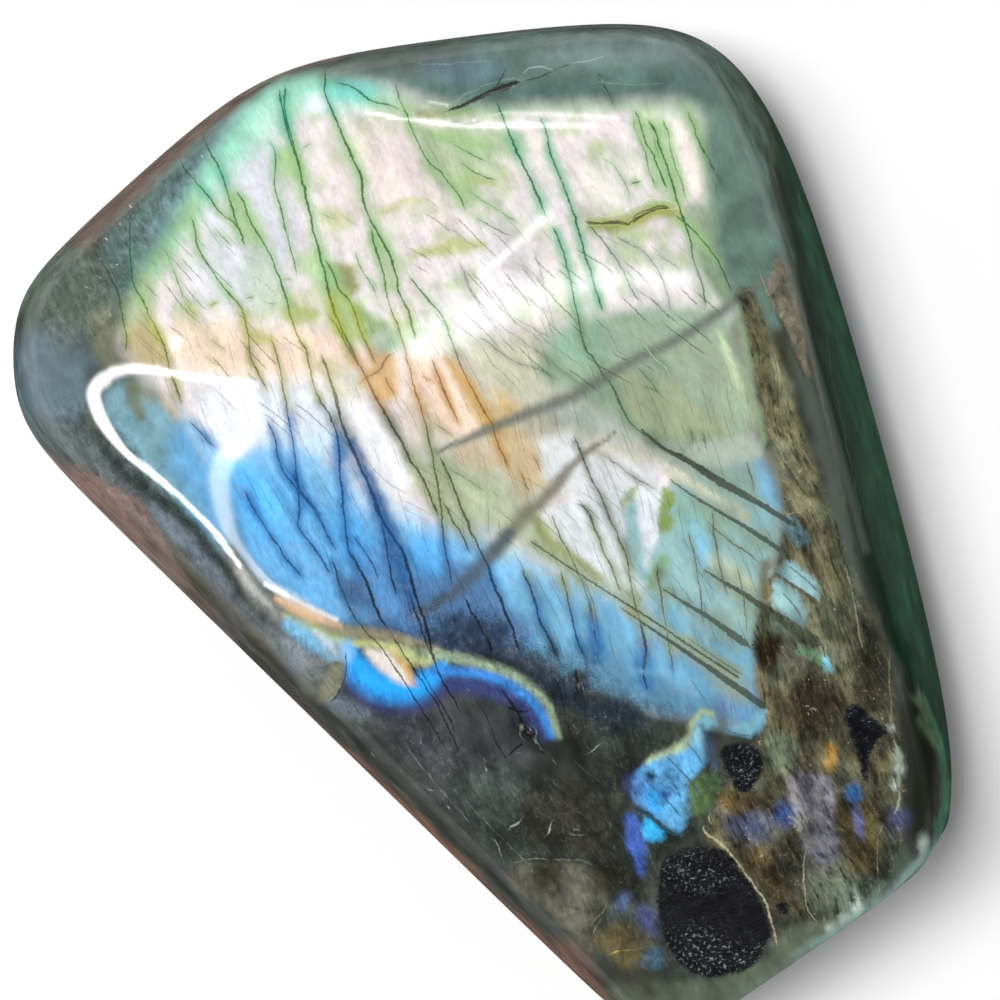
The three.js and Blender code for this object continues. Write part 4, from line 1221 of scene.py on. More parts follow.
# Bars and slits, which widen evenly: half widths at the start and at the end, line, colour.
BARS = [
    ((0.7, 1.3), [(529, 540), (560, 561), (598, 586), (652, 620), (690, 646), (713, 661),
                  (741, 679)], (50, 68, 60)),
    ((0.5, 4.0), [(618, 606), (646, 625), (698, 660), (735, 686), (768, 709)], (60, 74, 68)),
    ((0.4, 0.8), [(685, 636), (715, 657), (744, 676)], (80, 104, 110)),
    ((0.5, 4.2), [(660, 587), (690, 606), (713, 620), (750, 647)], (70, 82, 72)),
    ((0.6, 6.2), [(702, 568), (720, 580), (744, 594), (791, 626), (822, 646)], (66, 72, 58)),
    ((0.8, 2.6), [(773, 572), (809, 596), (820, 605)], (86, 80, 62)),
    ((1.0, 4.2), [(640, 428), (662, 447), (683, 458), (701, 469), (720, 481)], (54, 56, 50)),
    ((4.2, 2.2), [(714, 478), (757, 502), (796, 526)], (62, 70, 62)),
    ((0.7, 3.0), [(668, 478), (692, 495), (720, 512), (752, 531), (792, 558)], (66, 78, 68)),
    ((2.6, 2.2), [(676, 452), (684, 459)], (20, 22, 20)),
    ((3.4, 3.0), [(696, 464), (708, 472)], (18, 20, 18)),
    ((1.0, 3.4), [(444, 112), (468, 102), (492, 90), (512, 84)], (36, 32, 26)),
    ((3.0, 1.0), [(500, 88), (514, 82), (526, 80)], (30, 28, 24)),
    ((0.9, 0.7), [(524, 80), (539, 77), (553, 70), (575, 62)], (60, 66, 62)),
    ((0.8, 1.6), [(580, 575), (589, 603), (594, 633), (598, 667)], (80, 126, 156)),
    ((1.0, 2.0), [(640, 621), (646, 648), (643, 672)], (66, 84, 96)),
    ((1.6, 0.8), [(643, 672), (648, 693)], (50, 60, 70)),
    ((2.0, 2.0), [(633, 807), (650, 816), (664, 828), (676, 835)], (30, 62, 74)),
    ((0.7, 1.1), [(666, 756), (680, 770), (694, 786), (702, 800)], (62, 92, 110)),
    ((0.5, 1.0), [(642, 778), (656, 790), (672, 806), (682, 818)], (54, 104, 156)),
    ((0.6, 0.9), [(686, 742), (698, 756), (706, 770)], (70, 110, 126)),
    ((0.6, 1.0), [(720, 726), (736, 734), (752, 736)], (74, 110, 118)),
    ((0.5, 1.0), [(786, 564), (802, 576), (819, 592)], (84, 108, 100)),
    ((0.6, 1.0), [(780, 590), (793, 604), (804, 620)], (90, 108, 98)),
    ((0.5, 0.8), [(803, 650), (816, 658), (828, 668)], (80, 104, 84)),
    ((1.6, 0.8), [(664, 771), (674, 784), (682, 800)], (62, 110, 150)),
    ((2.2, 1.2), [(576, 668), (578, 684), (574, 704)], (24, 28, 26)),
    ((0.6, 1.2), [(345, 650), (346, 664), (344, 680), (337, 695), (329, 704)], (40, 44, 44)),
    ((0.8, 1.8), [(500, 688), (512, 704), (520, 718), (524, 736)], (14, 15, 18)),
    ((1.4, 0.8), [(506, 706), (520, 712), (532, 710)], (14, 15, 18)),
    ((1.8, 0.8), [(520, 728), (534, 740), (546, 757)], (14, 15, 18)),
    ((1.4, 0.6), [(526, 742), (514, 750), (506, 760)], (14, 15, 18)),
    ((1.0, 1.8), [(584, 221), (600, 223), (618, 222), (630, 224)], (58, 64, 40)),
    ((1.8, 0.8), [(632, 222), (642, 215), (656, 209), (672, 207)], (50, 56, 34)),
]
# Pale cracks, edges, scratches and painted glints: the widest half width, the line and the colour of
# each.
PALE_LINES = [
    # painted glints and webs in the dark ground, painted glints in the pits of the upper left bevel,
    # and pale edges at the lower right
    (0.9, [(448, 806), (450, 810)], (176, 186, 184)),
    (1.1, [(484, 766), (487, 771)], (180, 190, 188)),
    (0.9, [(529, 727), (531, 732)], (190, 198, 196)),
    (0.8, [(553, 760), (557, 765)], (170, 178, 174)),
    (0.8, [(466, 688), (470, 692)], (160, 168, 172)),
    (0.8, [(370, 752), (373, 756)], (166, 170, 166)),
    (0.7, [(422, 736), (421, 743), (424, 748)], (150, 158, 164)),
    (0.7, [(425, 788), (431, 791), (436, 790)], (156, 164, 160)),
    (0.8, [(505, 832), (512, 826), (520, 822), (525, 810)], (164, 168, 160)),
    (0.8, [(544, 838), (549, 832), (551, 824), (555, 819)], (164, 168, 160)),
    (0.7, [(572, 834), (576, 829), (580, 832)], (168, 172, 164)),
    (0.7, [(486, 836), (496, 842), (500, 856), (506, 864)], (140, 146, 142)),
    (0.6, [(404, 744), (424, 770), (446, 796), (476, 830)], (96, 106, 108)),
    (0.6, [(440, 776), (470, 806), (500, 836), (536, 872)], (92, 100, 98)),
    # painted glints in the pits of the upper left bevel and the nose
    (0.9, [(128, 204), (131, 209)], (196, 206, 206)),
    (0.9, [(134, 214), (131, 218)], (190, 200, 200)),
    (0.8, [(146, 226), (149, 230)], (176, 188, 188)),
    (0.9, [(118, 222), (122, 225)], (170, 182, 180)),
    (0.8, [(104, 238), (108, 241)], (180, 190, 186)),
    (0.9, [(98, 276), (104, 279)], (176, 188, 184)),
    (0.8, [(110, 262), (112, 268)], (170, 182, 178)),
    (0.8, [(84, 286), (92, 289)], (168, 178, 172)),
    (0.7, [(108, 312), (112, 316)], (160, 170, 160)),
    (0.9, [(200, 154), (203, 157)], (196, 210, 212)),
    (1.6, [(705, 823), (704, 832), (721, 844), (736, 862), (750, 881), (764, 898), (770, 916),
           (774, 928), (779, 950)], (168, 160, 134)),
    (0.8, [(806, 845), (804, 870), (806, 901), (812, 916), (820, 927)], (160, 156, 130)),
    (0.8, [(888, 818), (879, 836), (878, 858), (879, 885)], (112, 124, 104)),
    (1.0, [(845, 560), (852, 590), (858, 620), (861, 640), (866, 656)], (132, 134, 112)),
    (1.0, [(890, 649), (889, 670), (890, 690), (892, 712), (890, 724)], (126, 124, 92)),
    (1.8, [(892, 735), (898, 752), (901, 768), (898, 784), (900, 800), (893, 816)], (140, 152, 132)),
    (0.7, [(583, 756), (592, 752), (600, 744), (608, 742)], (168, 172, 160)),
    (0.6, [(562, 828), (574, 836), (590, 834)], (140, 140, 124)),
    (0.6, [(513, 718), (520, 727), (521, 736), (530, 744)], (130, 140, 132)),
    (0.6, [(528, 722), (537, 731), (536, 741), (543, 749)], (146, 156, 148)),
    (0.5, [(508, 758), (518, 752), (525, 757)], (120, 130, 124)),
    (0.7, [(576, 666), (584, 690), (588, 700)], (116, 128, 122)),
    (0.6, [(604, 910), (598, 926), (590, 940)], (150, 144, 110)),
    (0.8, [(602, 956), (620, 952), (640, 950)], (168, 150, 84)),
    (0.7, [(712, 812), (708, 818), (714, 826)], (176, 166, 132)),
    # light scratches on the top bevel, and thin lines at the right and round the clast
    (0.9, [(520, 79), (527, 69), (540, 66), (556, 69), (572, 62), (592, 60), (610, 52)],
     (156, 176, 172)),
    (0.6, [(402, 60), (430, 64), (466, 62), (500, 60)], (138, 156, 152)),
    (0.6, [(455, 108), (448, 112), (440, 116)], (208, 220, 204)),
    (0.5, [(590, 82), (640, 84), (668, 82)], (138, 164, 152)),
    (0.5, [(708, 132), (712, 170), (716, 210), (722, 250)], (128, 158, 148)),
    (0.6, [(757, 262), (764, 284), (772, 300), (776, 322)], (150, 146, 118)),
    (0.6, [(828, 330), (834, 380), (846, 440), (862, 520)], (64, 92, 70)),
    (0.6, [(640, 336), (650, 352), (664, 366), (672, 380)], (190, 208, 172)),
    (0.6, [(506, 866), (530, 859), (556, 860), (580, 861), (600, 867)], (118, 116, 98)),
    (0.6, [(608, 897), (604, 910), (594, 922), (588, 934)], (126, 124, 104)),
]

# ---------------------------------------------------------------- the lines as fields
LINE_WANDER = 1.3  # pixels that a crack strays from its smooth course
LINE_SHARE = 0.8  # of its widest half width, on average
LINE_END = 14.0  # pixels over which a crack thins out at each end
BAR_END = 5.0  # the same for a bar
LINE_FAMILIES = 6
LINE_SPACING = 20.0  # pixels between the cracks of one family
LINE_REACH = 1.5*LINE_SPACING  # how far from a crack its distance is followed
LINE_BODY = 0.5*LINE_SPACING  # how far from a crack its width is carried
LONGEST_END = 0.4  # of a crack's length, at most, that thins out
UNEVEN = 0.5  # of its width, by which a crack swells and thins


def settle_lines():
    """Sorts the cracks into families whose lines keep clear of each other."""
    families = [[] for _ in range(LINE_FAMILIES)]
    for row in CRACKS + PALE_LINES + BARS:
        points = flowing(row[1])
        gaps = []
        for family in families:
            gap = ENDLESS
            for _, other, _ in family:
                gap = min(gap, np.hypot(*(points[:, None] - other[None]).T).min())
            gaps.append(gap)
        clear = [i for i, gap in enumerate(gaps) if gap > LINE_SPACING]
        home = clear[0] if clear else int(np.argmax(gaps))
        families[home].append((row[0], points, row[2] if len(row) > 2 else None))
    return families


def family_fields(family, x, y, wander_x, wander_y, uneven, own):
    """How far the nearest crack of a family is, with its side as sign, and its half widths.

    own keeps, over all the families, how far the nearest crack is, its colour and whether it
    has one of its own.
    """
    offset = np.full(x.shape, LINE_REACH)
    half, whole = np.zeros(x.shape), np.zeros(x.shape)
    nearest, tint, share = own
    for width, points, colour in family:
        low, high = points.min(0) - LINE_REACH, points.max(0) + LINE_REACH
        near = (x > low[0]) & (x < high[0]) & (y > low[1]) & (y < high[1])
        bar = isinstance(width, tuple)
        stray = 0 if bar else 1
        px, py = x[near] + stray*wander_x[near], y[near] + stray*wander_y[near]
        gap, along, side = to_line(px, py, points)
        length = np.linalg.norm(np.diff(points, axis=0), axis=1).sum()
        end = min((BAR_END if bar else LINE_END)/length, LONGEST_END)
        ends = smooth(0, end, along)*smooth(0, end, 1 - along)
        if bar:
            width = width[0] + (width[1] - width[0])*along
        else:
            width = width*LINE_SHARE*(1 + UNEVEN*uneven[near])
        closer = gap < np.abs(offset[near])
        offset[near] = np.where(closer, gap*side, offset[near])
        half[near] = np.where(closer, width*ends*(gap < LINE_BODY), half[near])
        whole[near] = np.where(closer, width*ends, whole[near])
        first = gap < nearest[near]
        nearest[near] = np.where(first, gap, nearest[near])
        share[near] = np.where(first, colour is not None, share[near])
        if colour is not None:
            tint[near] = np.where(first[:, None], linear(colour), tint[near])
    return offset, half, whole


def line_fields(x, y):
    """For each family, how far its nearest crack is and its half widths, near it and farther out.

    The colours of the lines that have one of their own come last, with their share.
    """
    own = np.full(x.shape, LINE_REACH), np.zeros(x.shape + (3,)), np.zeros(x.shape)
    wander_x = LINE_WANDER*fractal(x, y, size=9, seed=41, octaves=2)
    wander_y = LINE_WANDER*fractal(x, y, size=9, seed=43, octaves=2)
    uneven = fractal(x, y, size=20, seed=47)
    fields = [family_fields(family, x, y, wander_x, wander_y, uneven, own)
              for family in settle_lines()]
    return fields, own[1], own[2]


# ---------------------------------------------------------------- the paint
CRACK_COLOUR, STAIN_COLOUR = (44, 52, 44), (110, 120, 100)
# Where the cracks and the stain beside them change colour: crack colour, stain colour, mark.
TINTS = [
    ((44, 94, 46), (172, 212, 150),
     area("silver cracks", CLEAR, 1.0, 16, 6,
          [(230, 110), (300, 70), (420, 90), (560, 110), (700, 90), (720, 200), (745, 300),
           (640, 330), (560, 330), (440, 350), (330, 340), (180, 350), (110, 330), (120, 260),
           (180, 180)])),
    ((22, 94, 72), (118, 204, 170),
     area("teal cracks", CLEAR, 1.0, 18, 6,
          [(190, 190), (230, 120), (290, 70), (400, 80), (390, 104), (330, 120), (290, 140),
           (240, 180), (200, 210)])),
    ((20, 86, 60), (132, 208, 166),
     area("green cracks right", CLEAR, 0.9, 16, 4,
          [(480, 90), (560, 100), (600, 220), (620, 330), (560, 320), (530, 220)])),
    ((128, 122, 124), (214, 206, 208),
     area("grey cracks", CLEAR, 0.85, 12, 6,
          [(420, 190), (470, 215), (540, 240), (570, 330), (520, 350), (460, 330), (430, 270)])),
    ((124, 120, 124), (206, 210, 206),
     area("grey cracks right", CLEAR, 0.8, 12, 6,
          [(600, 226), (690, 230), (716, 300), (670, 320), (616, 316), (606, 270)])),
    ((112, 118, 34), (190, 198, 84),
     area("lime cracks", CLEAR, 0.9, 14, 8,
          [(214, 300), (270, 310), (330, 296), (400, 300), (420, 330), (360, 350), (300, 350),
           (250, 350), (200, 350), (130, 350), (124, 310), (170, 300)])),
    ((96, 100, 48), (190, 194, 110),
     area("jagged step", CLEAR, 0.9, 6, 3,
          [(584, 212), (640, 206), (674, 200), (684, 210), (676, 222), (630, 232), (586, 230)])),
    ((92, 94, 46), (190, 188, 124),
     area("olive cracks left", CLEAR, 0.95, 14, 6,
          [(150, 340), (350, 336), (366, 380), (340, 404), (260, 404), (180, 410), (150, 380)])),
    ((118, 84, 40), (210, 164, 96),
     area("peach cracks", CLEAR, 1.0, 16, 6,
          [(346, 350), (420, 346), (480, 360), (540, 420), (546, 490), (500, 490), (450, 440),
           (400, 410), (350, 400)])),
    ((64, 72, 50), (168, 180, 138),
     area("olive cracks", CLEAR, 1.0, 16, 8,
          [(390, 420), (440, 420), (520, 480), (600, 520), (760, 690), (740, 720), (560, 600),
           (480, 560), (420, 520)])),
    ((62, 92, 66), (132, 160, 122),
     area("sage cracks", CLEAR, 1.0, 14, 6,
          [(540, 330), (600, 310), (710, 310), (750, 440), (690, 446), (600, 430), (550, 400)])),
    ((82, 88, 80), (150, 176, 156),
     area("bars", CLEAR, 1.0, 12, 4,
          [(650, 440), (760, 440), (800, 520), (800, 680), (740, 680), (680, 560), (650, 500)])),
    ((24, 60, 102), (58, 130, 196),
     area("blue cracks", CLEAR, 1.0, 18, 8,
          [(180, 410), (260, 410), (310, 410), (350, 440), (390, 490), (440, 530), (500, 560),
           (560, 600), (640, 640), (700, 670), (720, 720), (600, 700), (500, 660), (400, 640),
           (300, 620), (230, 560)])),
    ((16, 20, 24), (34, 40, 46),
     area("black cracks", CLEAR, 1.0, 16, 8,
          [(340, 570), (400, 560), (500, 580), (560, 640), (640, 700), (640, 760), (520, 780),
           (420, 740), (360, 640)])),
]
STAIN_REACH = 13.0  # pixels beside the strongest cracks
CLOSE_REACH = 5.0  # pixels beside a crack that take most of its colour
EDGE_REACH = 30.0  # how far the depths of the marks with crisp edges are followed, pixels
# The two directions of the hair cracks: degrees down from across, and the seed of their noise.
GRAINS = [(68.0, 700), (42.0, 750)]
WAVE_SEED, HAIRY_SEED = 9, 20  # added to it, for the waves and for where the hair cracks are
GRAIN_UNIT = 10.0  # pixels in one step of the grain's coordinates
GRAIN_BEND, GRAIN_WAVE = 16, 2  # pixels that the grain bends over its length and waves
# The seeds of the edges of single marks. A mark in a list adds its place to the list's seed.
FLASH_SEED, LEAFY_SEED, TINT_SEED, BLUISH_SEED = 200, 210, 300, 400
SPECKLED_SEED, SPARKLE_SEED, DULL_SEED, HOLLOW_SEED = 500, 600, 640, 650
DAYLIGHT = 0.88  # a surface of this albedo shows as the palette's full white
HAIRY = [  # where each direction has its hair cracks
    [area("steep hair above", CLEAR, 0.2, 20, 8,
          [(118, 332), (120, 300), (180, 205), (262, 92), (400, 96), (560, 110), (700, 110),
           (730, 290), (740, 340)]),
     area("steep hair below", CLEAR, 0.55, 20, 8,
          [(118, 332), (300, 320), (500, 300), (740, 330), (788, 520), (764, 600), (768, 705),
           (748, 730), (640, 704), (520, 660), (400, 618), (300, 606), (226, 500), (160, 388)])],
    [area("slanting hair", CLEAR, 1.0, 20, 8,
          [(420, 190), (480, 215), (560, 240), (700, 240), (730, 330), (700, 400), (600, 400),
           (520, 390), (440, 340), (400, 270)]),
     area("slanting hair left", CLEAR, 0.9, 20, 8,
          [(150, 250), (230, 220), (280, 300), (330, 400), (350, 440), (260, 440), (180, 400),
           (130, 330)]),
     area("slanting hair below", CLEAR, 0.6, 20, 8,
          [(300, 420), (420, 440), (520, 470), (660, 480), (760, 560), (700, 640), (560, 560),
           (420, 560)]),
     area("slanting hair of the ground", CLEAR, 0.35, 20, 8,
          [(300, 640), (340, 690), (440, 690), (540, 670), (640, 720), (640, 860), (600, 960),
           (500, 880), (380, 760)])],
]
BLUISH = [
    area("pool and its end", CLEAR, 1.0, 16, 8,
         [(226, 476), (330, 470), (420, 540), (540, 570), (680, 560), (780, 560), (768, 705),
          (748, 730), (640, 704), (520, 660), (400, 618), (300, 606)])]
SPECKLED = [
    area("speckled end of the pool", CLEAR, 1.0, 26, 14,
         [(392, 610), (420, 590), (450, 590), (500, 610), (560, 640), (640, 690), (690, 700),
          (680, 740), (620, 760), (540, 720), (500, 680), (420, 660), (392, 640)]),
    area("speckles in the pool", CLEAR, 0.4, 26, 10,
         [(240, 440), (340, 450), (420, 540), (500, 590), (600, 640), (600, 700), (400, 660),
          (260, 590)]),
    area("speckled nose", CLEAR, 0.8, 12, 8,
         [(44, 262), (90, 236), (150, 190), (190, 150), (200, 170), (150, 250), (122, 310),
          (100, 350), (40, 340)]),
    area("speckled lower right", CLEAR, 0.8, 16, 10,
         [(600, 740), (700, 770), (760, 740), (880, 780), (900, 830), (800, 930), (740, 975),
          (640, 975), (560, 930), (560, 820)]),
    area("speckled lower left", CLEAR, 0.8, 16, 8,
         [(44, 400), (100, 400), (180, 500), (300, 640), (420, 720), (560, 780), (640, 850),
          (640, 960), (560, 930), (360, 740), (160, 540), (60, 470)]),
    area("speckled tongue", CLEAR, 1.0, 2.5, 5,
         [(768, 282), (775, 256), (785, 258), (793, 282), (801, 322), (812, 372), (806, 376),
          (796, 350), (784, 322), (773, 302)]),
]


# Clouds of colour: the colour, then the size in pixels, the seed and the octaves of their noise,
# the values of the noise where they start and are full, and how strong they are.
GROUND_CLOUDS = [
    (SMOKE, 70, 3, 3, (-0.1, 0.6), 0.7),
    (OLIVE_GREY, 90, 8, 3, (0, 0.7), 0.5),
]
FLASH_CLOUDS = [(SHELL, 34, 12, 4, (-0.3, 0.6), 0.6)]
LEAFY_CLOUDS = [((178, 200, 138), 26, 13, 4, (-0.08, 0.45), 1.0)]
BROWN_CLOUDS = [
    ((62, 56, 38), 28, 101, 4, (0.05, 0.5), 0.75),
    ((120, 120, 96), 28, 103, 4, (0.05, 0.5), 0.75),
    ((70, 80, 64), 28, 105, 4, (0.05, 0.5), 0.75),
]
BACK_COLOUR = (52, 60, 55)
BACK_CLOUDS = [
    ((84, 92, 84), 90, 801, 4, (-0.1, 0.5), 0.8),
    ((88, 78, 56), 110, 811, 4, (0.05, 0.5), 0.6),
    ((44, 84, 118), 150, 821, 4, (0.2, 0.55), 0.7),
    ((70, 104, 92), 120, 831, 4, (0.2, 0.6), 0.5),
    ((30, 34, 32), 60, 841, 4, (0.15, 0.6), 0.7),
]
BACK_LEAN = (0.6, -0.8)  # how far the clouds of the sides and the back lean for each mm up
BACK_PIXELS = 10  # of their noise to a mm
BLOTCH_SQUEEZE = 1.7  # how much flatter than round the blotches of the flash are
BROWN_EDGE = (-6, 6)  # pixels over which the brown band starts
# The pixels over which the streaks of the lower right come in from the top and from both sides.
STREAKED_TOP, STREAKED_LEFT, STREAKED_RIGHT = (700, 740), (590, 620), (920, 890)
BLACK_BEND = 4  # pixels that the outlines of the black grains bend
PATCHY = (-0.75, 0.35)  # the values of the noise between which the stain comes and goes
FULL_STAIN = 1.4  # a crack has its full stain from a half width of one pixel over this
# Of the stain and of the darker colour close to a crack: how much shows, and how much of that is
# left between the patches.
STAIN_SHARE, LEAST_STAIN = 0.8, 0.3
CLOSE_SHARE, LEAST_CLOSE = 0.55, 0.35
STAIN_START, STAIN_GROWTH = 0.25, 0.6  # of its reach, beside a thin crack and for each pixel more
PATCH_REACH = 0.6  # of its reach that it keeps between the patches, and that they add
STAIN_FADE = 1.3  # the power by which it thins out
CLOSE_START = 0.5  # pixels of half width that the reach of the darker colour starts with
CLOSE_FULL = 1.2  # above one, so that the darker colour is full at the crack


def plain_colours(x, colour):
    return np.ones(x.shape + (3,))*linear(colour)


def clouded(colours, u, v, clouds, within=1.0):
    """Colours with clouds over them, as far as each point is within their part."""
    for colour, size, seed, octaves, ends, strength in clouds:
        share = smooth(*ends, fractal(u, v, size, seed, octaves))*strength*within
        colours = blend(colours, linear(colour), share)
    return colours


def mottle(colours, share, amount):
    """Makes colours lighter or darker where share is above or below zero."""
    return colours*(1 + amount*share)[..., None]


def streaked(grain, size, stretch, seed, octaves=3):
    """Noise drawn out along a grain."""
    across, along = grain[..., 0], grain[..., 1]
    return fractal(across*GRAIN_UNIT, along*GRAIN_UNIT/stretch, size, seed, octaves)


def most_of(marks, x, y, seed):
    return np.max([cover(mark, x, y, seed + number) for number, mark in enumerate(marks)], 0)


def edge_depth(x, y, outlines):
    """How far inside the nearest of some outlines each point is, up to a limit both ways."""
    depth = np.full(x.shape, -EDGE_REACH)
    for outline in outlines:
        corners = rounded(outline, times=1)
        low, high = corners.min(0) - EDGE_REACH, corners.max(0) + EDGE_REACH
        near = (x > low[0]) & (x < high[0]) & (y > low[1]) & (y < high[1])
        depth[near] = np.maximum(depth[near], depth_in(x[near], y[near], corners))
    return np.clip(depth, -EDGE_REACH, EDGE_REACH)


def tint_colours(x, y):
    """The colours of the cracks and of the stain beside them."""
    crack, stain = plain_colours(x, CRACK_COLOUR), plain_colours(x, STAIN_COLOUR)
    for number, (crack_tint, stain_tint, mark) in enumerate(TINTS):
        covered = cover(mark, x, y, TINT_SEED + number)
        crack = blend(crack, linear(crack_tint), covered)
        stain = blend(stain, linear(stain_tint), covered)
    return crack, stain


def grain_fields(x, y, u, v):
    """For each direction: coordinates across and along it, and how many hair cracks it has."""
    fields = []
    for (angle, seed), hairy in zip(GRAINS, HAIRY):
        turn = math.radians(angle)
        bend = (GRAIN_BEND*fractal(u, v, size=110, seed=seed, octaves=2)
                + GRAIN_WAVE*fractal(u, v, size=30, seed=seed + WAVE_SEED, octaves=2))
        across = (v*math.cos(turn) - u*math.sin(turn) + bend)/GRAIN_UNIT
        along = (u*math.cos(turn) + v*math.sin(turn))/GRAIN_UNIT
        fields.append(np.stack([across, along, most_of(hairy, x, y, seed + HAIRY_SEED)], -1))
    return fields


def ground_colours(x, y, u, v, steep):
    """The dark ground, the bevels round it and the painted reflection of skin on the lower left facet.
    """
    colours = clouded(plain_colours(x, DARK), u, v, GROUND_CLOUDS)
    colours = lay(colours, x, y, GROUND)
    colours = mottle(colours, fractal(u, v, size=30, seed=90, octaves=4), amount=0.7)
    colours = mottle(colours, streaked(steep, size=10, stretch=3, seed=94), amount=0.55)
    colours = lay(colours, x, y, BEVEL_MARKS)
    colours = mottle(colours, fractal(u, v, size=20, seed=92), amount=0.4)
    colours = mottle(colours, streaked(steep, size=10, stretch=3, seed=95), amount=0.15)
    return lay(colours, x, y, SKIN_REFLECTION_FACET)


def flash_colours(x, y, u, v, steep, slanting):
    """The flash, from silver and green over peach to blue."""
    colours = clouded(plain_colours(x, SILVER), u, v, FLASH_CLOUDS)
    colours = clouded(colours, u, v, LEAFY_CLOUDS, cover(LEAFY, x, y, LEAFY_SEED))
    colours = lay(colours, x, y, FLASH_MARKS)
    colours = lay(colours, x, y, STAINS)
    colours = mottle(colours, fractal(u, BLOTCH_SQUEEZE*v, size=30, seed=97, octaves=4), amount=0.14)
    colours = mottle(colours, streaked(steep, size=9, stretch=6, seed=98), amount=0.22)
    colours = mottle(colours, streaked(slanting, size=10, stretch=6, seed=96), amount=0.1)
    blue = most_of(BLUISH, x, y, BLUISH_SEED)
    return mottle(colours, blue*streaked(steep, size=9, stretch=8, seed=93), amount=0.32)


def stain_cracks(colours, crack, stain, lines, u, v):
    """The stain beside the cracks, which is darker close to them."""
    patchy = smooth(*PATCHY, fractal(u, v, size=30, seed=60))
    deep = 0.5*(crack + stain)
    for offset, _, width in lines:
        there = np.clip(FULL_STAIN*width, 0, 1)
        reach = STAIN_REACH*(STAIN_START + STAIN_GROWTH*width)*PATCH_REACH*(1 + patchy)
        share = np.clip(1 - np.abs(offset)/reach, 0, 1)**STAIN_FADE
        share = share*(LEAST_STAIN + (1 - LEAST_STAIN)*patchy)*there*STAIN_SHARE
        colours = blend(colours, stain, share)
        reach = CLOSE_REACH*(CLOSE_START + width)
        share = np.clip(CLOSE_FULL - np.abs(offset)/reach, 0, 1)
        share = share*(LEAST_CLOSE + (1 - LEAST_CLOSE)*patchy)*there*CLOSE_SHARE
        colours = blend(colours, deep, share)
    return colours


def lay_brown(colours, x, y, u, v, steep):
    """The brown band down the right, and how far inside it each point is."""
    brown = edge_depth(x, y, [BROWN_BAND])
    share = smooth(*BROWN_EDGE, brown)
    colours = blend(colours, linear(BROWN), share)
    colours = clouded(colours, u, v, BROWN_CLOUDS, share)
    colours = lay(colours, x, y, BROWN_MARKS)
    threads = streaked(steep, size=11, stretch=2.5, seed=99, octaves=4)
    colours = mottle(colours, share*threads, amount=1.1)
    colours = mottle(colours, share*fractal(u, v, size=46, seed=110, octaves=2), amount=0.7)
    return colours, np.minimum(brown, -edge_depth(x, y, WINDOWS))


def paint_front(x, y, u, v):
    """Everything that the mesh carries for its front, at points given in frame pixels.

    u and v are pixels too, but they run on at full length down the sides. The noise takes them.
    """
    steep, slanting = grain_fields(x, y, u, v)
    crack, stain = tint_colours(x, y)
    lines, own, owned = line_fields(x, y)
    flash = cover(FLASH, x, y, FLASH_SEED)
    lit = flash_colours(x, y, u, v, steep, slanting)
    lit = stain_cracks(lit, crack, stain, lines, u, v)
    colours = blend(ground_colours(x, y, u, v, steep), lit, flash)
    colours = lay(colours, x, y, POOL_SHADES + ROLL_OVER)
    colours, brown = lay_brown(colours, x, y, u, v, steep)
    colours = lay(colours, x, y, CHIPS_AND_GLINTS + JAGGED_MARKS)
    low = smooth(*STREAKED_TOP, y)*smooth(*STREAKED_LEFT, x)*smooth(*STREAKED_RIGHT, x)
    colours = mottle(colours, low*streaked(steep, size=9, stretch=3, seed=107), amount=0.5)
    colours = lay(colours, x, y, SIDE_MARKS)

    bend_x = BLACK_BEND*fractal(u, v, size=13, seed=108, octaves=2)
    bend_y = BLACK_BEND*fractal(u, v, size=13, seed=109, octaves=2)
    black = edge_depth(x + bend_x, y + bend_y, BLACK_GRAINS)
    speckled = most_of(SPECKLED, x, y, SPECKLED_SEED)
    sparkles = most_of(SPARKLES, x, y, SPARKLE_SEED)
    offsets, widths = ([line[part] for line in lines] for part in (0, 1))
    return dict(
        paint=colours*DAYLIGHT, crack=blend(crack, own, owned)*DAYLIGHT,
        zones=np.stack([flash, speckled, sparkles], -1),
        edges=np.stack([brown, black], -1), steep=steep, slanting=slanting,
        lines_a=np.stack(offsets[:3], -1), widths_a=np.stack(widths[:3], -1),
        lines_b=np.stack(offsets[3:], -1), widths_b=np.stack(widths[3:], -1))


def paint_back(points):
    """The dark stone of the sides and the back, at points in mm."""
    x, y, z = BACK_PIXELS*points.T
    x, y = x + BACK_LEAN[0]*z, y + BACK_LEAN[1]*z
    colours = clouded(plain_colours(x, BACK_COLOUR), x, y, BACK_CLOUDS)
    return mottle(colours, fractal(x, y, size=16, seed=851), amount=0.4)*DAYLIGHT


# ---------------------------------------------------------------- the stone
LEAST_GLOSS = 0.05  # of the polish, on the shoulders
GLOSSY_FACING = (0.38, 0.76)  # how far a face turns up to take the full polish
SIDE_GLOSS = 0.5  # of the polish, on the sides and the back
SIDE_FACING = (0.1, -0.15)  # how far a face turns down to take it
DRIFT = 34.0  # pixels that the marks stray sideways along the walls
DRIFT_FACING = (0.5, 0.2)  # how far a face turns up where they start to stray
FRONT_FACING = (0.06, 0.14)  # how far a face turns up to carry the paint of the front
STEEP_FACING = (0.75, 0.3)  # how far a face turns up where the noise starts to run down it
TOP_LEVEL = 38.0  # mm over the floor, near the height of the shoulders
FRONT_RAGGED = 0.05  # how far noise moves the end of the paint of the front
PLANE_UNIT = 100.0  # pixels in one step of the coordinates that the material's noise takes
FIT = 0.0004  # the shown stone is smaller than its CAD box by this share, so that it stays inside


def hollowed(points, normals, x, y):
    """The points with the hollows pressed in."""
    for number, (deep, mark) in enumerate(HOLLOWS):
        points = points - normals*(deep*cover(mark, x, y, HOLLOW_SEED + number))[:, None]
    return points


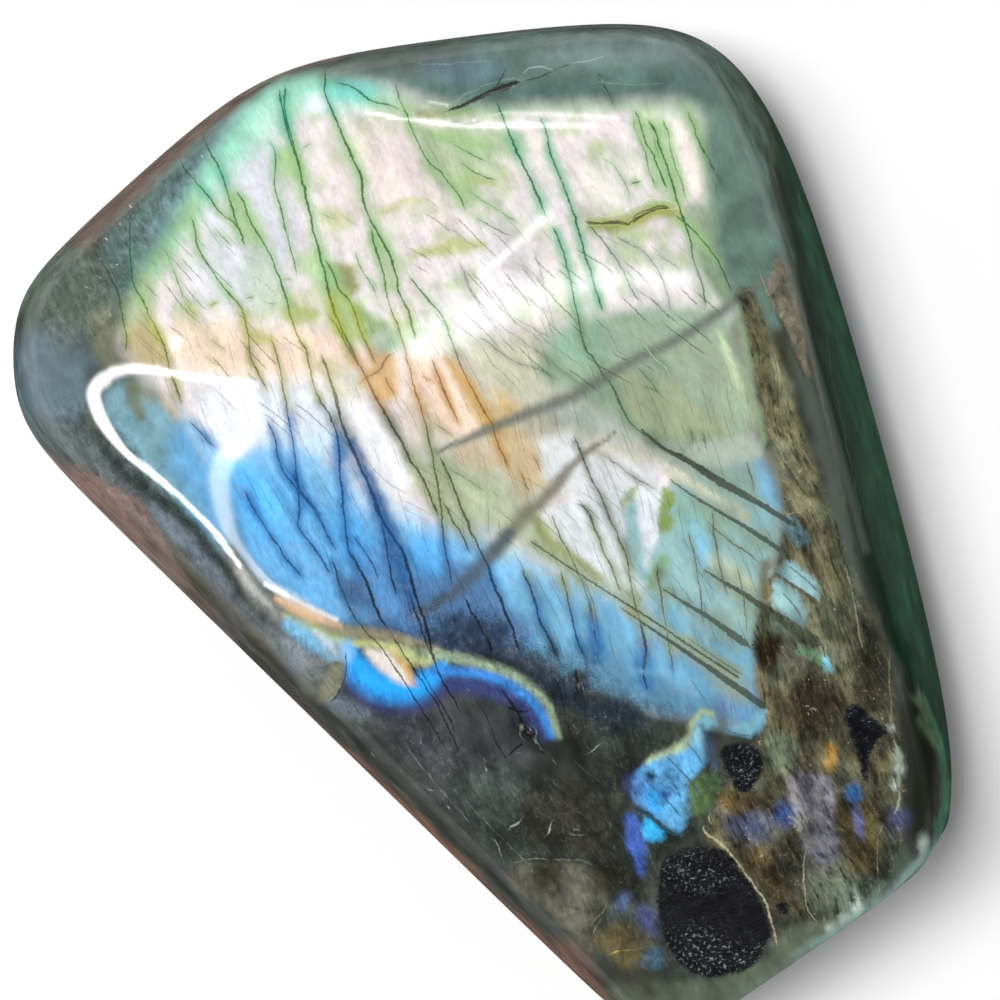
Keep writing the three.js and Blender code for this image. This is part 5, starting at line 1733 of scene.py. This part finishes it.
def polish(x, y, facing):
    """How much of its polish each point has."""
    side_gloss = SIDE_GLOSS*smooth(*SIDE_FACING, facing)
    gloss = LEAST_GLOSS + (1 - LEAST_GLOSS)*smooth(*GLOSSY_FACING, facing)
    return np.maximum(gloss, side_gloss)*(1 - cover(DULL_RIDGE, x, y, DULL_SEED))


def carried_fields(points, sunk, normals, x, y):
    """What the mesh carries for the material at its points, which show at x and y in the frame.

    The sunk points are the same ones in their hollows.
    """
    facing = normals[:, 2]
    unrolled = smooth(*STEEP_FACING, facing)*(TOP_LEVEL - points[:, 2])/PIXEL
    u, v = x + unrolled*normals[:, 0], y - unrolled*normals[:, 1]
    ragged = FRONT_RAGGED*fractal(u, v, size=50, seed=630, octaves=4)
    front = smooth(*FRONT_FACING, facing + ragged)
    wall = smooth(*DRIFT_FACING, facing)
    drift = DRIFT*wall*fractal(u, v, size=44, seed=635, octaves=4)
    fields = paint_front(x + drift*normals[:, 1], y + drift*normals[:, 0], u, v)
    blotches = wall*fractal(u, v, size=24, seed=636, octaves=5)
    painted = mottle(fields["paint"], blotches, amount=0.75)
    fields["paint"] = blend(paint_back(sunk), painted, front)
    for name in ("widths_a", "widths_b", "zones"):
        fields[name] *= front[:, None]
    edges = fields["edges"]*front[:, None] - EDGE_REACH*(1 - front[:, None])
    fields["edges"] = np.column_stack([edges, polish(x, y, facing)])
    return dict(plane=np.stack([u/PLANE_UNIT, v/PLANE_UNIT, front], 1), **fields)


def fit_in_cad(points):
    """The points in metres, scaled and moved into the box of the CAD stone, and their shift."""
    low, high = np.array(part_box(NODE))
    own_low, own_high = points.min(0)*MM, points.max(0)*MM
    scale = ((high - low)/(own_high - own_low)).min()*(1 - FIT)
    shift = (low + high)/2 - scale*(own_low + own_high)/2
    shift[2] = low[2] - scale*own_low[2]
    return points*MM*scale + shift, shift


def add_attribute(mesh, name, values):
    coloured = name in ("paint", "crack")
    layer = mesh.attributes.new(name, "FLOAT_COLOR" if coloured else "FLOAT_VECTOR", "POINT")
    if coloured:
        values = np.concatenate([values, np.ones((len(values), 1))], 1)
    layer.data.foreach_set("color" if coloured else "vector", values.astype(np.float32).ravel())


def build_stone():
    points, normals, triangles = build_surface()
    x, y = to_pixels(points)
    sunk = hollowed(points, normals, x, y)
    placed, shift = fit_in_cad(sunk)
    mesh = bpy.data.meshes.new("labradorite_freeform")
    mesh.from_pydata(placed.tolist(), [], triangles.tolist())
    mesh.update()
    for name, values in carried_fields(points, sunk, normals, x, y).items():
        add_attribute(mesh, name, values)
    for face in mesh.polygons:
        face.use_smooth = True
    stone = bpy.data.objects.new("labradorite_freeform", mesh)
    bpy.context.scene.collection.objects.link(stone)
    return stone, shift


# ---------------------------------------------------------------- the material
class Graph:
    """A material's nodes, with short calls that take sockets, numbers or colours."""

    def __init__(self, name):
        self.material = bpy.data.materials.new(name)
        self.material.use_nodes = True
        self.tree = self.material.node_tree
        self.tree.nodes.clear()

    def node(self, kind, inputs=(), **settings):
        made = self.tree.nodes.new("ShaderNode" + kind)
        for key, value in settings.items():
            setattr(made, key, value)
        for key, value in dict(inputs).items():
            self.wire(made.inputs[key], value)
        return made

    def wire(self, socket, value):
        if isinstance(value, bpy.types.NodeSocket):
            self.tree.links.new(value, socket)
        else:
            socket.default_value = value

    def attribute(self, name):
        return self.node("Attribute", attribute_name=name)

    def parts(self, vector):
        made = self.node("SeparateXYZ", {0: vector})
        return [made.outputs[i] for i in range(3)]

    def maths(self, operation, *values, clamp=False):
        inputs = dict(enumerate(values))
        return self.node("Math", inputs, operation=operation, use_clamp=clamp).outputs[0]

    def times(self, *values):
        result = values[0]
        for value in values[1:]:
            result = self.maths("MULTIPLY", result, value)
        return result

    def most(self, *values):
        result = values[0]
        for value in values[1:]:
            result = self.maths("MAXIMUM", result, value)
        return result

    def line(self, value, slope, start):
        """A value times a slope, plus a start."""
        return self.maths("MULTIPLY_ADD", value, slope, start)

    def rest(self, share):
        return self.maths("SUBTRACT", 1.0, share)

    def centred(self, noise):
        """Noise that swings about zero and not about a half."""
        return self.maths("SUBTRACT", noise, 0.5)

    def rise(self, value, low, high):
        """0 below low and 1 above high, or the other way round if high is lower."""
        if low < high:
            ends = {3: 0.0, 4: 1.0}
        else:
            low, high, ends = high, low, {3: 1.0, 4: 0.0}
        return self.node("MapRange", {0: value, 1: low, 2: high, **ends},
                         interpolation_type="SMOOTHSTEP").outputs[0]

    def mix(self, below, above, share):
        made = self.node("Mix", data_type="RGBA")
        self.wire(made.inputs[0], share)
        for socket, colour in ((made.inputs[6], below), (made.inputs[7], above)):
            self.wire(socket, (*linear(colour), 1.0) if isinstance(colour, tuple) else colour)
        return made.outputs[2]

    def shade(self, colour, factor):
        """A colour made lighter or darker by a factor."""
        colour = tuple(linear(colour)) if isinstance(colour, tuple) else colour
        return self.node("VectorMath", {0: colour, 3: factor}, operation="SCALE").outputs[0]

    def noise(self, vector, scale, detail=3.0, roughness=0.5, distortion=0.0):
        return self.node("TexNoise", {"Vector": vector, "Scale": scale, "Detail": detail,
                                      "Roughness": roughness, "Distortion": distortion}).outputs[0]

    def surface(self, shader):
        """The material, with this shader as its surface."""
        self.node("OutputMaterial", {0: shader.outputs[0]})
        return self.material


BROWN_STRAY, BROWN_SOFT = 11.0, 1.2  # pixels that the edge of the brown strays, and its softness
BLACK_STRAY, BLACK_SOFT = 6.0, 2.2  # the same for the black grains
# How strongly the grain, the threads and the rock lighten and darken the stone.
GRAIN_TONE, MORE_GRAIN = 0.5, 0.8  # everywhere, and what the brown and the speckled parts add
BROWN_THREADS, SPECKLED_THREADS = 2.4, 1.2
ROCK_TONE, MORE_ROCK, BROWN_ROCK = 0.25, 2.4, 0.55
LEAST_TONE = 0.25
BROWN_DULLNESS = 0.35  # of the polish that the brown lacks
# Thin layers: the colour and how much of it shows.
# The first colour is painted shade: the soft pinkish grey shadow of flaky layers in the flash.
LEAF_SHADE, LEAF_SHADE_SHARE = (140, 132, 132), 0.22
OCHRE_SHARE = 0.3
GAP, GAP_SHARE = (34, 28, 18), 0.5
CRUMB, CRUMB_SHARE = (188, 186, 160), 0.6
FLECK, FLECK_SHARE = (24, 30, 44), 0.7
SPECK, SPECK_SHARE = (190, 198, 198), 0.85
SHINE, SHINE_SHARE = (150, 156, 158), 0.75
WORM, WORM_SHARE = (150, 156, 148), 0.7
HAIR_SHADE, HAIR_SHARE, CRACK_SHARE = 0.35, 0.3, 0.85
# The values of the noise where each layer starts and where it is full. A layer with patches lies
# only in those of a second noise.
LEAF_SHADE_RISE = (0.52, 0.68)
STREAKS_RISE, STREAK_PATCHES = (0.54, 0.66), (0.4, 0.6)
GAPS_RISE = (0.45, 0.36)
CRUMBS_RISE, CRUMB_PATCHES = (0.6, 0.7), (0.52, 0.6)
FLECKS_RISE, FLECK_PATCHES = (0.5, 0.62), (0.5, 1.0)
SPECKS_RISE, STRIKES_RISE = (0.4, 0.3), (0.44, 0.35)
CLUSTERS_RISE, CLUSTER_PATCHES = (0.47, 0.6), (0.42, 0.6)
SHINE_RISE = (0.54, 0.7)
WORM_PATCHES = (0.52, 0.6)
BLACK_SWING, BLACK_LEVEL, BLACK_LEAST = 4.0, 1.1, 0.3  # how light and dark the black grains are
STONY_SPECKS, SPARKLING_SPECKS, BLACK_SPECKS, BROWN_SPECKS = 0.9, 0.9, 0.1, 0.5
WORM_LEVEL, WORM_WIDTH = 0.54, 0.008  # the value of the noise that they follow, and how closely
STRAY = 3.6  # pixels that a drawn crack strays from side to side
SWELL, LEAST_SWELL = 1.5, 0.25  # of a drawn crack's width, with the noise and without
CRACK_EDGE = 0.45  # pixels over which a drawn crack fades at its sides
CRACK_FULL = 2.0  # a drawn crack is full from a half width of one pixel over this
PIT_EDGE = (-2.0, 3.0)  # pixels inside an outline over which the pits of the polish start
BROWN_PITS = 0.5  # of their depth, in the brown
PIT_STRENGTH, PIT_DEPTH = 0.2, 0.0003  # the depth in metres
# Hair cracks: the field of their direction, their spacing and half width in steps of the grain,
# and a seed.
HAIR_CRACKS = [("steep", 0.8, 0.05, 0.0), ("slanting", 0.9, 0.045, 0.4)]
HAIR_EDGE = 0.04  # over which a hair crack fades at its sides, in steps of the grain
HAIR_STRAY = 0.1  # steps of the grain to each pixel that a drawn crack would stray
HAIR_ROOM = (0.7, 0.15)  # of a strip: the room for its crack, and the margin before it
HAIR_RUN = 0.16  # how fast the breaks follow each other along a hair crack
HAIR_SCATTER = 91.0  # from the breaks of one strip to those of the next
HAIR_BREAKS = (0.47, 0.62)  # the values of the noise where a hair crack starts and is full


def hair_cracks(graph, field, spacing, half, seed, stray):
    """Long fine lines, one in each strip along the grain, each broken here and there."""
    across, along, amount = graph.parts(graph.attribute(field).outputs["Vector"])
    across = graph.line(stray, HAIR_STRAY, across)
    strips = graph.line(across, 1/spacing, seed)
    strip = graph.maths("FLOOR", strips)
    pick = graph.node("TexWhiteNoise", {"W": strip}, noise_dimensions="1D").outputs[0]
    middle = graph.line(pick, *HAIR_ROOM)
    away = graph.maths("ABSOLUTE", graph.maths("SUBTRACT", graph.maths("FRACT", strips), middle))
    run = graph.line(along, HAIR_RUN, graph.times(pick, HAIR_SCATTER))
    present = graph.node("TexNoise", {"W": run, "Scale": 1.0, "Detail": 1.0},
                         noise_dimensions="1D").outputs[0]
    weight = graph.times(graph.rise(present, *HAIR_BREAKS), amount)
    width = graph.line(weight, half/spacing, HAIR_EDGE/spacing)
    inside = graph.times(graph.maths("SUBTRACT", width, away), spacing/HAIR_EDGE)
    return graph.times(graph.maths("MULTIPLY", inside, 1.0, clamp=True), weight)


def drawn_cracks(graph, stray, swell):
    """The cracks that the mesh carries, strayed by some pixels and with widths that swell."""
    strongest = 0.0
    for lines, widths in (("lines_a", "widths_a"), ("lines_b", "widths_b")):
        offsets = graph.parts(graph.attribute(lines).outputs["Vector"])
        halves = graph.parts(graph.attribute(widths).outputs["Vector"])
        for offset, half in zip(offsets, halves):
            away = graph.maths("ABSOLUTE", graph.maths("ADD", offset, stray))
            half = graph.times(half, swell)
            line = graph.maths("SUBTRACT", graph.maths("ADD", half, CRACK_EDGE), away, clamp=True)
            line = graph.times(line, graph.maths("MULTIPLY", half, CRACK_FULL, clamp=True))
            strongest = graph.most(strongest, line)
    return strongest


def along_grain(graph, steep, squeeze, run, level=0.0, **settings):
    """Noise drawn out along the steep grain, at a level of its own."""
    across, along, _ = steep
    vector = graph.node("CombineXYZ", {
        0: graph.times(across, squeeze), 1: graph.times(along, run), 2: level})
    return graph.noise(vector.outputs[0], 1.0, **settings)


def inside(graph, depth, ragged, stray, soft):
    """1 inside an outline and 0 outside it, with a ragged edge."""
    edge = graph.line(ragged, 2*stray, graph.maths("SUBTRACT", depth, stray))
    return graph.rise(edge, -soft, soft)


def stone_fields(graph):
    """What the mesh carries, and the noises that the layers of the material share."""
    plane = graph.attribute("plane").outputs["Vector"]
    steep = graph.parts(graph.attribute("steep").outputs["Vector"])
    flash, speckled, sparkle = graph.parts(graph.attribute("zones").outputs["Vector"])
    brown, black, gloss = graph.parts(graph.attribute("edges").outputs["Vector"])
    ragged = graph.noise(plane, scale=26, roughness=0.6)
    in_black = inside(graph, black, ragged, BLACK_STRAY, BLACK_SOFT)
    return SimpleNamespace(
        front=graph.parts(plane)[2], flash=flash, speckled=speckled, sparkle=sparkle,
        brown=brown, black=black, gloss=gloss, ragged=ragged,
        in_brown=inside(graph, brown, ragged, BROWN_STRAY, BROWN_SOFT), in_black=in_black,
        stony=graph.rest(in_black),
        rock=graph.noise(plane, scale=6.5, detail=5, roughness=0.68, distortion=0.6),
        fleck=graph.noise(plane, scale=52, roughness=0.7, distortion=0.4),
        pits=graph.noise(plane, scale=38, detail=1),
        grain=along_grain(graph, steep, squeeze=2.6, run=0.9, roughness=0.65, distortion=0.4),
        fibre=along_grain(graph, steep, squeeze=2.2, run=0.4, level=3.0, detail=4,
                          roughness=0.7, distortion=0.3),
        strikes=along_grain(graph, steep, squeeze=1.5, run=6.5, roughness=0.7, distortion=0.8))


def grain_tone(graph, at):
    """How light and dark the grain, the threads and the rock make the paint."""
    dim = graph.maths("MULTIPLY", graph.rest(at.flash), at.front, clamp=True)
    dim = graph.most(dim, at.in_brown)
    depth = graph.line(graph.most(at.in_brown, at.speckled), MORE_GRAIN, GRAIN_TONE)
    tone = graph.line(graph.centred(at.grain), depth, 1.0)
    threaded = graph.most(graph.times(at.in_brown, BROWN_THREADS),
                          graph.times(at.speckled, dim, SPECKLED_THREADS))
    tone = graph.line(graph.centred(at.fibre), threaded, tone)
    rocky = graph.most(graph.times(at.speckled, dim), graph.times(at.in_brown, BROWN_ROCK))
    rough = graph.times(graph.centred(at.rock), graph.line(rocky, MORE_ROCK, ROCK_TONE))
    return graph.most(graph.maths("ADD", tone, rough), LEAST_TONE)


def lay_leaf_shade_and_crumbs(graph, colour, at):
    """Painted soft grey shade of the flaky layers in the flash, and ochre streaks, dark gaps and pale
    crumbs in the brown.
    """
    # painted shade of the flaky layers
    leaves = graph.times(graph.rise(at.rock, *LEAF_SHADE_RISE), at.flash, LEAF_SHADE_SHARE)
    colour = graph.mix(colour, LEAF_SHADE, leaves)
    streaks = graph.times(at.in_brown, graph.rise(at.fibre, *STREAKS_RISE),
                          graph.rise(at.ragged, *STREAK_PATCHES))
    colour = graph.mix(colour, OCHRE, graph.times(streaks, OCHRE_SHARE))
    gaps = graph.times(at.in_brown, graph.rise(at.fibre, *GAPS_RISE))
    colour = graph.mix(colour, GAP, graph.times(gaps, GAP_SHARE))
    crumbs = graph.times(at.in_brown, graph.rise(at.rock, *CRUMBS_RISE),
                         graph.rise(at.ragged, *CRUMB_PATCHES))
    return graph.mix(colour, CRUMB, graph.times(crumbs, CRUMB_SHARE))


def lay_cracks(graph, colour, tone, at):
    tint = graph.shade(graph.attribute("crack").outputs["Color"], tone)
    stray = graph.times(graph.centred(at.ragged), STRAY)
    swell = graph.line(at.rock, SWELL, LEAST_SWELL)
    fine = graph.most(*[hair_cracks(graph, *row, stray) for row in HAIR_CRACKS])
    colour = graph.shade(colour, graph.line(fine, -HAIR_SHADE, 1.0))
    colour = graph.mix(colour, tint, graph.times(fine, HAIR_SHARE))
    return graph.mix(colour, tint, graph.times(drawn_cracks(graph, stray, swell), CRACK_SHARE))


def lay_black_grains(graph, colour, at):
    dusky = graph.line(graph.centred(at.rock), BLACK_SWING, BLACK_LEVEL)
    return graph.mix(colour, graph.shade(BLACK, graph.most(dusky, BLACK_LEAST)), at.in_black)


def lay_specks(graph, colour, at):
    """Dark flecks, bright specks between them and pale marks like worms."""
    dark = graph.times(graph.rise(at.fleck, *FLECKS_RISE), graph.rise(at.speckled, *FLECK_PATCHES),
                       at.flash)
    colour = graph.mix(colour, FLECK, graph.times(dark, FLECK_SHARE))
    sparkling = graph.line(at.sparkle, SPARKLING_SPECKS, BLACK_SPECKS)
    bright = graph.most(
        graph.times(at.speckled, at.stony, STONY_SPECKS), graph.times(at.in_black, sparkling),
        graph.times(at.in_brown, BROWN_SPECKS))
    clusters = graph.times(graph.rise(at.rock, *CLUSTERS_RISE),
                           graph.rise(at.ragged, *CLUSTER_PATCHES))
    specks = graph.most(graph.times(graph.rise(at.fleck, *SPECKS_RISE), at.stony),
                        graph.times(graph.rise(at.strikes, *STRIKES_RISE), at.in_black))
    dots = graph.times(specks, clusters, bright)
    colour = graph.mix(colour, SPECK, graph.times(dots, SPECK_SHARE))
    shine = graph.times(graph.rise(at.ragged, *SHINE_RISE), at.in_black, at.sparkle)
    colour = graph.mix(colour, SHINE, graph.times(shine, SHINE_SHARE))
    away = graph.maths("ABSOLUTE", graph.maths("SUBTRACT", at.rock, WORM_LEVEL))
    worms = graph.times(graph.rise(away, WORM_WIDTH, 0.0), graph.rise(at.grain, *WORM_PATCHES),
                        bright, at.stony)
    return graph.mix(colour, WORM, graph.times(worms, WORM_SHARE))


def small_pits(graph, at):
    """Small pits in the polish of the black grains and of the brown."""
    deep = graph.times(graph.rise(at.brown, *PIT_EDGE), BROWN_PITS)
    deep = graph.times(graph.most(graph.rise(at.black, *PIT_EDGE), deep), at.front)
    height = graph.times(at.pits, deep)
    bump = graph.node("Bump", {"Strength": PIT_STRENGTH, "Distance": PIT_DEPTH, "Height": height})
    return bump.outputs[0]


def labradorite():
    graph = Graph("labradorite")
    at = stone_fields(graph)
    tone = grain_tone(graph, at)
    colour = graph.shade(graph.attribute("paint").outputs["Color"], tone)
    colour = lay_leaf_shade_and_crumbs(graph, colour, at)
    colour = lay_cracks(graph, colour, tone, at)
    colour = lay_black_grains(graph, colour, at)
    colour = lay_specks(graph, colour, at)
    normal = small_pits(graph, at)
    coat = graph.times(at.gloss, graph.rest(graph.times(at.in_brown, BROWN_DULLNESS)))
    return graph.surface(graph.node("BsdfPrincipled", {
        "Base Color": colour, "Roughness": 0.35, "IOR": 1.56, "Specular IOR Level": 0.0,
        "Coat Weight": coat, "Coat Roughness": 0.03, "Coat IOR": 1.5,
        "Normal": normal, "Coat Normal": normal}))


# ---------------------------------------------------------------- the light that the polish mirrors
SHEET_HEIGHT = 400.0  # mm over the floor, of the lowest sheet
SHEET_GAP = 4.0  # mm from one sheet up to the next
SHEET_RADIANCE = 26.0
RAY_START = 60.0  # mm over the floor, clear above the stone
MIRRORED = [  # the step in pixels between the points that place a sheet, and its shape
    (2.5, band("loop", CLEAR, 1.0, 0.3, 0,
               [(255, 383), (215, 380), (181, 375), (156, 370), (129, 369), (108, 375), (94, 390),
                (96, 407), (105, 426), (124, 451), (150, 473), (181, 499), (208, 526), (229, 552),
                (240, 566)], [2.4, 2.8, 2.8, 4.2, 6.8, 6, 3.5, 2.8, 2.6, 2.4, 2])),
    (4.0, band("loop end", CLEAR, 0.2, 0.9, 0,
               [(226, 550), (242, 574), (256, 592), (270, 606)], [4, 4.5, 4, 2])),
    (3.0, band("inner streak", CLEAR, 0.4, 0.45, 0,
               [(238, 444), (224, 462), (219, 482), (223, 508), (232, 537), (248, 560),
                (266, 582), (284, 594)], [7, 10, 9.5, 8, 5.5, 4, 3.5, 3])),
    (6.0, area("left wedge", CLEAR, 0.08, 15, 0,
               [(212, 392), (236, 388), (262, 394), (272, 404), (262, 420), (250, 440),
                (240, 456), (224, 426)])),
    (8.0, area("broad glare", CLEAR, 0.07, 16, 0,
               [(300, 380), (340, 362), (400, 322), (450, 294), (520, 270), (600, 258),
                (696, 262), (704, 284), (650, 286), (590, 292), (540, 310), (470, 350),
                (400, 390), (340, 410), (300, 404)])),
    (6.0, area("bright glare", CLEAR, 0.22, 9, 0,
               [(530, 286), (600, 270), (690, 270), (702, 286), (650, 284), (592, 288),
                (540, 305), (470, 342), (410, 362), (384, 350), (430, 318), (480, 300)])),
    (3.0, band("diagonal streak", CLEAR, 0.35, 0.6, 0,
               [(478, 276), (510, 250), (548, 214)], [1.5, 3.5, 5])),
    (3.0, spot("small spot", CLEAR, 0.5, 0.4, 0, (175, 343), (6, 8), 20)),
    (1.5, band("top line", CLEAR, 0.7, 0.5, 0,
               [(366, 112), (402, 117), (440, 123), (480, 125), (540, 125), (597, 126)],
               [1, 1.6, 2.2, 2.4, 2.2, 1])),
    (1.5, band("second top line", CLEAR, 0.4, 0.5, 0,
               [(428, 101), (451, 105), (488, 111), (532, 113), (575, 115), (619, 117)],
               [0.8, 1.2, 1.4, 1.2, 1.2, 0.8])),
]


def seen_points(x, y):
    """Where the camera's rays through the pixels meet the form."""
    flat = np.stack([(x - ORIGIN_PIXEL[0])*PIXEL, (ORIGIN_PIXEL[1] - y)*PIXEL,
                     np.full(x.shape, OUTLINE_LEVEL)], -1)
    rays = flat - EYE
    rays /= np.linalg.norm(rays, axis=1)[:, None]
    near = (EYE[2] - RAY_START)/-rays[:, 2]
    far = (EYE[2] - HUB[2])/-rays[:, 2]
    for _ in range(HALVINGS):
        middle = (near + far)/2
        outside = form(EYE + rays*middle[:, None]) > 0
        near, far = np.where(outside, middle, near), np.where(outside, far, middle)
    return EYE + rays*middle[:, None], rays


def light_material():
    """Light that the sheet adds to what is seen through it."""
    graph = Graph("light_sheet")
    strength = graph.times(graph.attribute("glow").outputs["Fac"], SHEET_RADIANCE)
    emission = graph.node("Emission", {"Color": (1, 1, 1, 1), "Strength": strength})
    clear = graph.node("BsdfTransparent")
    both = graph.node("AddShader", {0: emission.outputs[0], 1: clear.outputs[0]})
    return graph.surface(both)


def add_light_sheet(number, step, mark, shift, material):
    """A sheet of light in the shape that the front mirrors to the camera."""
    (left, top), (right, bottom) = mark["low"], mark["high"]
    across, down = np.arange(left, right + step, step), np.arange(top, bottom + step, step)
    x, y = [grid.ravel() for grid in np.meshgrid(across, down)]
    glow = cover(mark, x, y, seed=0)
    wide = len(across)
    rows, columns = np.meshgrid(np.arange(len(down) - 1), np.arange(wide - 1), indexing="ij")
    first = (rows*wide + columns).ravel()
    squares = np.stack([first, first + 1, first + wide + 1, first + wide], 1)
    squares = squares[glow[squares].max(1) > 0]
    used, numbers = np.unique(squares, return_inverse=True)
    points, rays = seen_points(x[used], y[used])
    normals = form_normals(points)
    rays -= 2*(rays*normals).sum(1)[:, None]*normals
    height = SHEET_HEIGHT + SHEET_GAP*number
    reach = (height - points[:, 2])/rays[:, 2]
    places = (points + rays*reach[:, None])*MM + shift
    mesh = bpy.data.meshes.new("light_sheet")
    mesh.from_pydata(places.tolist(), [], numbers.reshape(-1, 4).tolist())
    layer = mesh.attributes.new("glow", "FLOAT", "POINT")
    layer.data.foreach_set("value", glow[used].astype(np.float32))
    mesh.materials.append(material)
    sheet = bpy.data.objects.new("light_sheet", mesh)
    sheet.visible_camera = False
    sheet.visible_diffuse = False
    sheet.visible_shadow = False
    bpy.context.scene.collection.objects.link(sheet)


# ---------------------------------------------------------------- the stage
PAPER = (0.86, 0.86, 0.855)
PAPER_ROUGHNESS, PAPER_SPECULAR = 0.9, 0.1
FLOOR_HALF = 4.0  # metres
FLOOR_GAP = 0.00002  # metres under the stone, so that the two never share a plane
KEY = dict(azimuth=166, elevation=73, distance=1.5, size=(0.5, 0.5), radiance=30.5,
           aim=(0, 0, 0.02))
# The world's grey: how far up it starts to darken and where it is darkest, with 1 straight up.
WORLD = [(0.6, (0.45, 0.45, 0.46, 1)), (0.85, (0.1, 0.1, 0.105, 1))]
CLIP = (0.01, 20)  # metres


def paper():
    graph = Graph("paper")
    return graph.surface(graph.node("BsdfPrincipled", {
        "Base Color": (*PAPER, 1.0), "Roughness": PAPER_ROUGHNESS,
        "Specular IOR Level": PAPER_SPECULAR}))


def add_floor():
    mesh = bpy.data.meshes.new("floor")
    corners = [(-FLOOR_HALF, -FLOOR_HALF, 0), (FLOOR_HALF, -FLOOR_HALF, 0),
               (FLOOR_HALF, FLOOR_HALF, 0), (-FLOOR_HALF, FLOOR_HALF, 0)]
    mesh.from_pydata(corners, [], [(0, 1, 2, 3)])
    floor = bpy.data.objects.new("floor", mesh)
    floor.location.z = -FLOOR_GAP
    floor.data.materials.append(paper())
    bpy.context.scene.collection.objects.link(floor)


def add_light(name, azimuth, elevation, distance, size, radiance, aim):
    """A softbox. Its radiance is what a mirror would show of it."""
    data = bpy.data.lights.new(name, "AREA")
    data.shape = "RECTANGLE"
    data.size, data.size_y = size
    data.energy = radiance*size[0]*size[1]*math.pi
    light = bpy.data.objects.new(name, data)
    a, e = math.radians(azimuth), math.radians(elevation)
    towards = Vector((math.cos(a)*math.cos(e), math.sin(a)*math.cos(e), math.sin(e)))
    light.location = Vector(aim) + towards*distance
    light.rotation_mode = "QUATERNION"
    light.rotation_quaternion = towards.to_track_quat("Z", "Y")
    bpy.context.scene.collection.objects.link(light)
    return light


def add_world():
    world = bpy.data.worlds.new("studio")
    world.use_nodes = True
    tree = world.node_tree
    tree.nodes.clear()
    coordinates = tree.nodes.new("ShaderNodeTexCoord")
    split_up = tree.nodes.new("ShaderNodeSeparateXYZ")
    ramp = tree.nodes.new("ShaderNodeValToRGB")
    for stop, (position, colour) in zip(ramp.color_ramp.elements, WORLD):
        stop.position, stop.color = position, colour
    background = tree.nodes.new("ShaderNodeBackground")
    out = tree.nodes.new("ShaderNodeOutputWorld")
    tree.links.new(coordinates.outputs["Generated"], split_up.inputs[0])
    tree.links.new(split_up.outputs[2], ramp.inputs[0])
    tree.links.new(ramp.outputs[0], background.inputs[0])
    tree.links.new(background.outputs[0], out.inputs[0])
    bpy.context.scene.world = world


def add_camera(shift):
    data = bpy.data.cameras.new("camera")
    data.sensor_width = SENSOR
    data.lens = SENSOR*CAMERA_DISTANCE/(FRAME*PIXEL)
    data.clip_start, data.clip_end = CLIP
    camera = bpy.data.objects.new("camera", data)
    camera.location = Vector(EYE*MM) + Vector(shift)
    bpy.context.scene.collection.objects.link(camera)
    bpy.context.scene.camera = camera


stone, offset = build_stone()
stone.data.materials.append(labradorite())
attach(stone, "root")
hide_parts(NODE)

add_floor()
add_world()
key = add_light("key", **KEY)
key.visible_glossy = False
glow = light_material()
for number, (step, mark) in enumerate(MIRRORED):
    add_light_sheet(number, step, mark, offset, glow)
add_camera(offset)
scene = bpy.context.scene
scene.view_settings.view_transform = "Standard"
